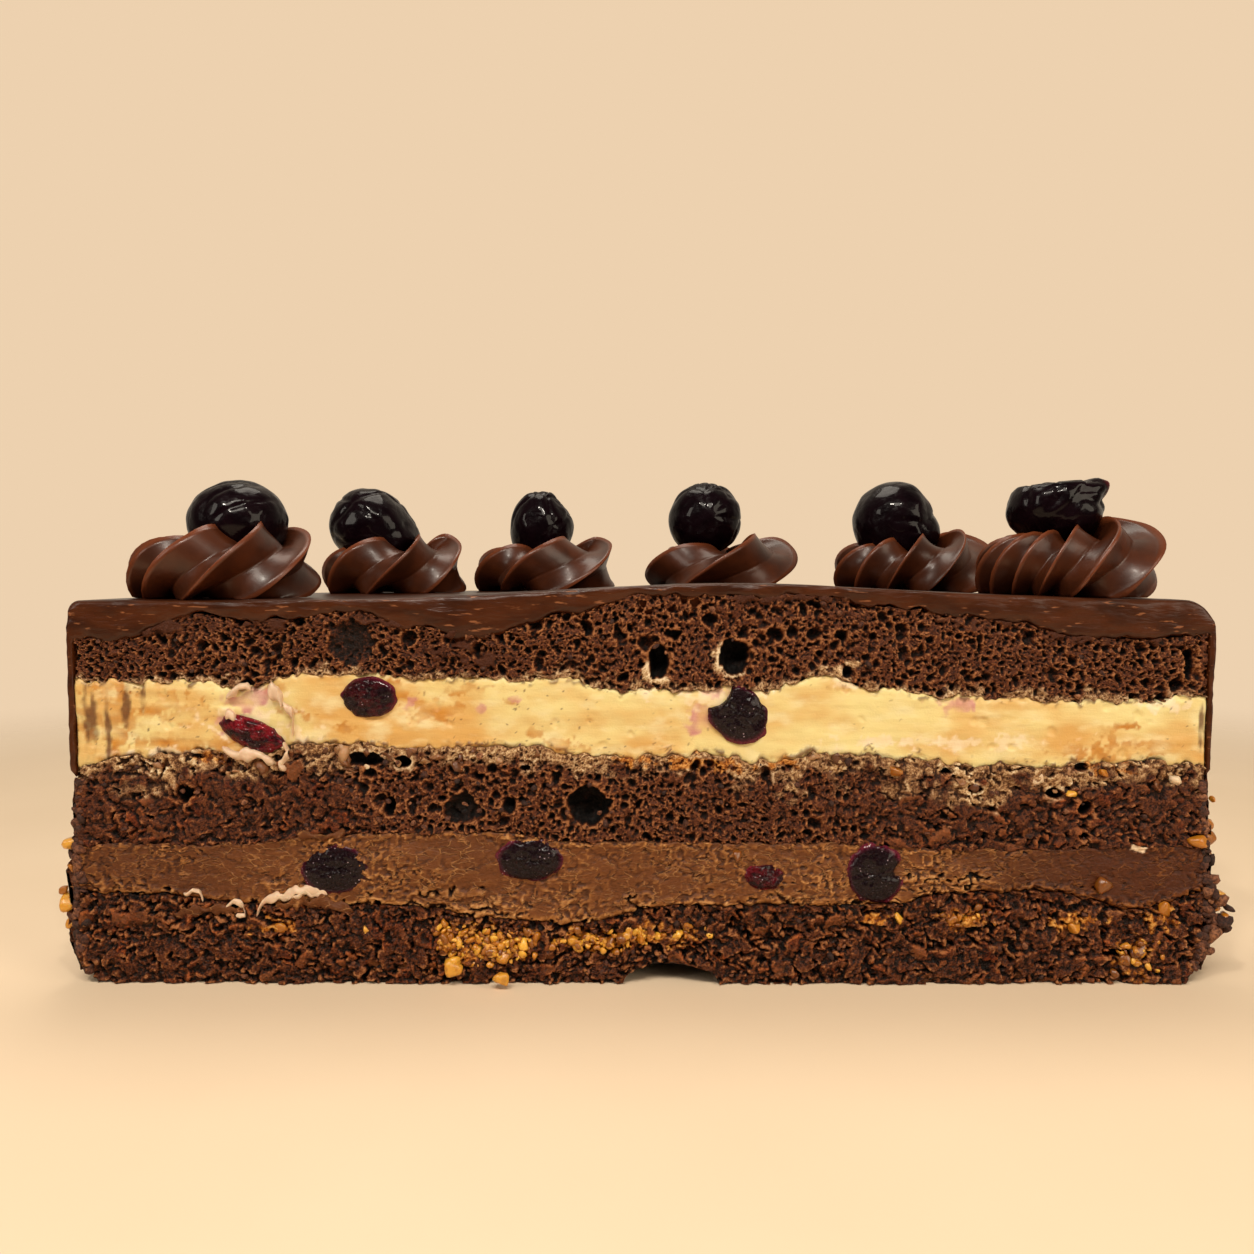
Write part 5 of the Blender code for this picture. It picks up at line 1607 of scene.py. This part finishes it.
def crust_mesh():
    """The closed skin: rough outside, and a coarse inner wall that never shows."""
    columns = round(math.pi * CRUST_INNER / CRUST_STEP)
    rows = round((CRUST_HIGH - CRUST_LOW) / CRUST_STEP)
    turn = np.linspace(0, math.pi, columns)[:, None]
    share = np.linspace(0, 1, rows)[None, :]
    edge = turn * CRUST_INNER
    around_it = edge + 0 * share
    top = CRUST_HIGH + 1.4 * grain(edge, 0 * edge, 6, 901) + 0.8 * grain(edge, 0 * edge, 2, 902)
    z = CRUST_LOW + (top - CRUST_LOW) * share
    rough = 0.8 * crumbs(around_it, z, 2.6, 903) + 0.45 * crumbs(around_it, z, 1.3, 904)
    rough = rough - pores(around_it, z, 2.2, 905, 0.4, 0.8)[0]
    out = crust_bulge(z) + 0.5 * grain(around_it, z, 9, 906) + rough * 0.8
    thin_low = np.minimum(1, smooth(share / 0.05) + 0.15)
    thin_high = np.minimum(1, smooth((1 - share) / 0.05) + 0.1)
    out = np.maximum(out, 0.1) * thin_low * thin_high
    radius = CRUST_INNER + out
    outside = np.stack([radius * np.cos(turn), CUT_Y + radius * np.sin(turn), z], axis=-1)
    faces = [f[::-1] for f in grid_faces(columns, rows)]
    start = columns * rows
    coarse = np.linspace(0, math.pi, COAT_COLUMNS)
    wall = CRUST_INNER - 0.3
    inside = np.array([(wall * math.cos(a), CUT_Y + wall * math.sin(a), height)
                       for height in (CRUST_LOW, CRUST_HIGH - 1) for a in coarse])
    low = list(range(start, start + COAT_COLUMNS))
    high = list(range(start + COAT_COLUMNS, start + 2 * COAT_COLUMNS))
    faces += [(low[k], low[k + 1], high[k + 1], high[k]) for k in range(COAT_COLUMNS - 1)]
    faces += zip_lines([i * rows for i in range(columns)], low)
    faces += [f[::-1] for f in zip_lines([i * rows + rows - 1 for i in range(columns)], high)]
    faces += zip_lines(range(rows), [low[0], high[0]])
    faces += [f[::-1] for f in zip_lines(range((columns - 1) * rows, columns * rows), [low[-1], high[-1]])]
    # The crest fact paints shade into the gaps between packed crumbs and a highlight on the crumbs that stand
    # out.
    crest = crest_of(-rough, 1, 3)
    crest[[0, -1]] = 0.55
    crest = np.concatenate([crest.ravel(), np.full(len(inside), 0.5)])
    return np.concatenate([outside.reshape(-1, 3), inside]), faces, {"crest": crest}


points, faces, facts = crust_mesh()
coat = piece("crumb_crust", points, faces, WET_SPONGE, ("nut_crust",), facts)
turn_outwards(coat)

# %% [markdown]
# ## The loose bits
# Larger crumbs and caramelised nuts stand out of the coat all round. They are strewn at random, more of
# them low down than high up, and each is pressed in a little. The seed is fixed, so the cake is always the
# same.

# %% The loose bits
def on_side(turn, z, out):
    """Places on the round side, so far out from the coat's foot."""
    radius = CRUST_INNER + out
    return np.stack([radius * np.cos(turn), CUT_Y + radius * np.sin(turn), z], axis=-1)


CRUMB_COUNT, NUT_COUNT = 430, 150

chance = np.random.default_rng(950)
turn = chance.uniform(0.004, math.pi - 0.004, CRUMB_COUNT)
z = 3.4 + 34.5 * chance.random(CRUMB_COUNT) ** 1.15
size = chance.uniform(1.2, 3.2, CRUMB_COUNT)
places = on_side(turn, z, crust_bulge(z) - 0.1 + 0.1 * size)
add_lumps("crust_crumbs", CRUMB, "crust", places, size, 951, planes=9)
turn = chance.uniform(0.006, math.pi - 0.006, NUT_COUNT)
z = 4.0 + 30 * chance.random(NUT_COUNT) ** 1.2
size = chance.uniform(2.0, 4.6, NUT_COUNT)
places = on_side(turn, z, crust_bulge(z) - 0.4 + 0.12 * size)
add_lumps("crust_nuts", NUT, "crust", places, size, 952, planes=10, soft=9.0)

# %% [markdown]
# ## Crumbs and nuts at the cut's two ends
# The coat shows in section at both ends of the cut, where it is a column of crumbs and nuts a few
# millimetres wide. The nuts and the larger clumps lie where the photo has them, and fine crumbs fill the
# space between.

# %% Crumbs and nuts at the cut's two ends
# Each nut and clump: (x, z, size)
END_NUTS = [(-109.8, 27.0, 2.6), (-110.2, 22.4, 3.4), (-110.0, 18.8, 3.0), (-111.4, 15.2, 4.2),
            (-110.8, 11.4, 3.4), (-109.0, 8.0, 3.0), (-112.2, 17.8, 2.4), (110.2, 28.2, 3.4),
            (110.4, 31.0, 2.4), (110.6, 18.6, 3.0), (112.9, 16.6, 3.4), (111.4, 14.4, 3.0),
            (113.8, 13.0, 2.6), (110.8, 35.6, 2.0), (109.4, 9.4, 2.4)]
END_CLUMPS = [(111.4, 9.0, 4.2), (112.8, 12.2, 4.6), (112.4, 15.8, 4.2), (111.2, 19.8, 3.6),
              (113.8, 10.6, 2.8), (110.8, 24.0, 3.0), (114.2, 14.4, 2.6), (110.6, 6.0, 3.4),
              (-110.4, 13.0, 3.0), (-110.2, 25.0, 2.6), (-109.8, 6.0, 2.8)]
END_COUNT = 380


def on_cut(marks, behind):
    """The places of (x, z, size) marks, so far behind the cut."""
    return [(x, CUT_Y + behind, z) for x, z, _ in marks]


def sizes_of(marks):
    """The sizes of (x, z, size) marks."""
    return [size for _, _, size in marks]


add_lumps("end_nuts", NUT, "crust", on_cut(END_NUTS, 0.9), sizes_of(END_NUTS), 955, level=3, planes=10,
          soft=8.0)
chance = np.random.default_rng(957)
side = np.where(chance.random(END_COUNT) < 0.5, -1, 1)
z = 2.5 + 37.0 * chance.random(END_COUNT) ** 1.1
bulge = crust_bulge(z) + 2.4 * (side > 0) * np.exp(-((z - 14) / 6) ** 2)
inset = FOOT_INSET * np.clip(1 - z / FOOT_HEIGHT, 0, 1)
x = side * (LAYER_RADIUS - 0.6 - inset + bulge * chance.random(END_COUNT))
places = np.stack([x, CUT_Y + chance.uniform(-0.4, 0.8, END_COUNT), z], axis=-1)
places = np.concatenate([places, on_cut(END_CLUMPS, 0.8)])
sizes = np.concatenate([chance.uniform(1.2, 3.0, END_COUNT), sizes_of(END_CLUMPS)])
add_lumps("end_crumbs", CRUMB, "crust", places, sizes, 958, planes=9)

# %% [markdown]
# ## The golden nuts on the cut face
# Caramelised nut bits sit in the base sponge, in clusters of coarse grains round a few larger pieces, and
# some have fallen off in front. Single nuts lie where the photo has them, and the clusters are strewn round
# a middle.

# %% The golden nuts on the cut face
FACE_NUTS = [(-38, 8.8, 3.4), (-32, 7.2, 2.6), (-29.6, 8.4, 2.4), (-26.6, 5.4, 3.0), (-23, 7.6, 2.6),
             (-13, 8.4, 2.6), (-6, 8.2, 2.4), (0, 8.8, 2.4), (9, 11.4, 2.6), (50, 12.6, 2.8),
             (60, 12.8, 3.0), (84, 11.0, 3.4), (-70, 11.0, 2.8), (-53, 10.2, 3.0), (-36.1, 3.4, 4.0),
             (18.5, 25.2, 2.6), (82.6, 37.0, 2.0), (89.0, 41.2, 2.8), (48.6, 41.6, 3.6), (89.4, 19.4, 3.0),
             (101.4, 14.4, 3.2), (97.0, 6.4, 2.8), (94.0, 4.6, 2.4), (107.6, 28.0, 3.4)]
FACE_NUT_SCALE = 1.15
# Clusters: (x, z, width, height, how many grains)
NUT_CLUSTERS = [(-28.0, 7.4, 14, 6.5, 150), (-37, 8.6, 6, 6, 60), (-10, 8.2, 14, 3.5, 70),
                (3, 9.4, 14, 3, 40), (62, 12.8, 10, 2.4, 26), (96, 6, 7, 8, 34)]
FLOOR_NUTS = [(-27.0, CUT_Y - 3.2, 1.9, 4.6), (-36.4, CUT_Y - 1.6, 3.4, 3.8),
              (-109.5, CUT_Y + 3.0, 8.6, 3.4)]
FALLEN_TINT = 0.75

sizes = [size * FACE_NUT_SCALE for size in sizes_of(FACE_NUTS)]
add_lumps("face_nuts", NUT, "crust", on_cut(FACE_NUTS, -0.5), sizes, 960, level=3, planes=10, soft=8.0)
chance = np.random.default_rng(965)
grains = []
for middle_x, middle_z, width, height, count in NUT_CLUSTERS:
    for _ in range(count):
        x = middle_x + width * 0.5 * chance.normal() * 0.6
        y = CUT_Y - chance.uniform(0.2, 1.1)
        z = middle_z + height * 0.5 * chance.normal() * 0.5
        grains.append((x, y, z))
sizes = chance.uniform(0.7, 2.2, len(grains))
add_lumps("nut_grains", NUT, "crust", grains, sizes, 966, planes=6, soft=5.0, squash=(0.4, 1.1))
places, sizes = [nut[:3] for nut in FLOOR_NUTS], [nut[3] for nut in FLOOR_NUTS]
points, faces, facts = lumps(places, sizes, 970, level=3, planes=9, soft=10.0)
piece("fallen_nuts", points, faces, NUT, (), {"tint": FALLEN_TINT + 0 * facts["tint"]})

# %% [markdown]
# ## Crumbs on the cut face
# The knife left small crumbs stuck to the three sponges, most of them on the base. They are strewn at
# random between each sponge's own seams, half sunk into the face, and small ones are more common than large
# ones.

# %% Crumbs on the cut face
CRUMBS_ON = ((cream_seam, sponge_seam, 60), (mousse_seam, middle_seam, 260), (base_foot, base_seam, 340))

chance = np.random.default_rng(980)
places, sizes = [], []
for low_seam, high_seam, count in CRUMBS_ON:
    x = chance.uniform(-104, 104, count)
    share = chance.random(count)
    z = low_seam(x, 0.0) + (high_seam(x, 0.0) - low_seam(x, 0.0)) * (0.06 + 0.88 * share)
    places += list(zip(x, CUT_Y - chance.uniform(-0.1, 0.45, count), z))
    sizes += list(0.5 + 1.3 * chance.random(count) ** 2)
add_lumps("face_crumbs", CRUMB, "sponge", places, sizes, 981)

# %% [markdown]
# ## White cream curls
# On the left the knife rolled pale cream and mousse into small curls that stand off the cut. Each is a
# ribbon: a flat, ruffled tube along a few points read from the photo, leaning this way and that as it goes.

# %% White cream curls
def curl_finish():
    made = Finish("white_cream", roughness=0.4, Subsurface_Weight=0.1, Subsurface_Scale=0.001)
    made.set("Base Color", made.mix(made.grain(1.4, 3), tone(232, 206, 176), tone(196, 158, 128)))
    made.set("Normal", made.bump(made.grain(0.7, 3), 0.12))
    return made.material


RIBBON_STEPS, RIBBON_SIDES = 44, 14


def ribbon(path, width, thick, seed):
    """A ruffled strip along a path of (x, z) on the cut face."""
    way = np.array(path, float)
    gone = length_along(way[:, 0], way[:, 1])
    s = np.linspace(0, gone[-1], RIBBON_STEPS)
    x, z = (np.interp(s, gone, way[:, k]) for k in (0, 1))
    for _ in range(2):
        x[1:-1], z[1:-1] = (0.5 * v[1:-1] + 0.25 * (v[:-2] + v[2:]) for v in (x, z))
    z = z + 0.6 * grain(s, 0 * s, 1.2, seed + 1)
    lean = 1.4 * grain(s, 0 * s, 1.8, seed + 2) + 0.5
    end = np.sqrt(np.clip(1 - (np.abs(s / gone[-1] - 0.5) * 2) ** 6, 0.002, 1))
    half = 0.5 * width * end * (1 + 0.5 * grain(s, 0 * s, 1.1, seed))
    turn = np.linspace(0, math.tau, RIBBON_SIDES, endpoint=False)
    flat, high = half[:, None] * np.cos(turn), 0.5 * thick * end[:, None] * np.sin(turn)
    up = flat * np.cos(lean)[:, None] - high * np.sin(lean)[:, None]
    ahead = flat * np.sin(lean)[:, None] + high * np.cos(lean)[:, None]
    points = np.stack([x[:, None] + 0 * up, CUT_Y - 0.7 - ahead, z[:, None] + up], axis=-1).reshape(-1, 3)
    faces = ring_faces(RIBBON_STEPS, RIBBON_SIDES)
    faces.append(list(range(RIBBON_SIDES))[::-1])
    faces.append(list(range((RIBBON_STEPS - 1) * RIBBON_SIDES, RIBBON_STEPS * RIBBON_SIDES)))
    return points, faces


def ribbons(strips, seed):
    """Several ribbons in one mesh, each (path, width, thickness)."""
    points, faces, total = [], [], 0
    for n, (path, width, thick) in enumerate(strips):
        own, flat = ribbon(path, width, thick, seed + 7 * n)
        faces += [[v + total for v in face] for face in flat]
        points.append(own)
        total += len(own)
    return np.concatenate(points), faces


# Each strip: its path of (x, z), its width and its thickness
CURLS = [
    ([(-74.4, 13.6), (-73.2, 15.6), (-70.6, 16.8), (-67.6, 17.8), (-64.8, 18.8), (-62.6, 18.6), (-61.6, 17.4)],
     2.0, 0.9),
    ([(-70.4, 16.4), (-67.0, 17.2), (-64.0, 17.8), (-60.6, 17.4)], 1.5, 0.8),
    ([(-80.6, 14.8), (-78.6, 16.0), (-76.8, 15.4), (-76.4, 13.6), (-78.4, 13.2)], 1.3, 0.8),
    ([(-88.4, 17.6), (-86.6, 18.4), (-85.0, 17.6), (-84.6, 16.4)], 1.3, 0.8),
    ([(-68.6, 46.6), (-67.4, 44.6), (-69.4, 42.6), (-68.0, 41.4)], 2.4, 1.6),
    ([(-80.4, 46.0), (-77.0, 44.4), (-73.0, 44.6), (-70.4, 43.2)], 2.2, 1.6),
    ([(-79.4, 55.8), (-77.4, 57.4), (-74.6, 57.8)], 2.0, 1.5),
    ([(-71.4, 57.4), (-69.4, 56.6), (-68.6, 54.8)], 2.6, 1.8),
    ([(-79.6, 52.6), (-77.6, 51.8)], 2.2, 1.6),
    ([(-68.6, 54.6), (-66.6, 52.2), (-66.8, 48.8)], 2.4, 1.6),
]
SLABS = [
    ([(-70.8, 15.0), (-66.0, 16.0), (-61.0, 15.8), (-55.6, 14.4)], 2.8, 0.9),
    ([(-90.4, 13.6), (-86.0, 14.6), (-81.0, 14.8), (-77.8, 14.4)], 2.2, 0.9),
    ([(-66.4, 29.6), (-62.0, 28.6), (-57.0, 29.4)], 1.8, 0.9),
]
points, faces = ribbons(CURLS, 990)
piece("white_cream_curls", points, faces, curl_finish())
points, faces = ribbons(SLABS, 1090)
piece("torn_mousse_slabs", points, faces, MOUSSE)

# %% [markdown]
# ## Cream lumps in the middle sponge
# Just under the cream line the sponge is full of small pale lumps, cream that was rubbed into the open
# crumb. They are ragged flat bits, made like the crumbs and then pushed out of shape by a noise in space.

# %% Cream lumps in the middle sponge
LUMP_COUNT = 70


def smear_finish():
    """Cream that was rubbed into wet crumb: from nearly white to tan."""
    made = Finish("smeared_cream", roughness=0.32, Subsurface_Weight=0.1, Subsurface_Scale=0.001)
    made.set("Base Color", made.ramp(made.fact("tint"), (0.0, tone(78, 40, 20)), (0.4, tone(124, 78, 46)),
                                     (0.8, tone(176, 132, 92)), (1.0, tone(228, 202, 168))))
    made.set("Normal", made.bump(made.grain(0.7, 3), 0.16))
    return made.material


chance = np.random.default_rng(1000)
x = np.concatenate([chance.uniform(-106, -18, LUMP_COUNT), chance.uniform(28, 106, LUMP_COUNT // 2)])
z = middle_seam(x, 0.0) - 0.4 - 5.0 * chance.random(len(x)) ** 1.6
places = list(zip(x, CUT_Y - chance.uniform(-0.5, 0.1, len(x)), z))
sizes = 0.7 + 2.1 * chance.random(len(x)) ** 1.5
points, faces, facts = lumps(places, sizes, 1001, planes=5, soft=3.0, squash=(0.25, 1.3))
points = points + np.stack([0.7 * grain_round(points, 0.9, 1002 + k) for k in range(3)], axis=-1)
piece("rubbed_in_cream", points, faces, smear_finish(), (), facts)

# %% [markdown]
# ## Triangles
# The number of triangles in all the pieces, and the most in one piece, are printed.

# %% The number of triangles
print("triangles in all:", sum(COUNTS.values()), "the most in one:", max(COUNTS.values()))
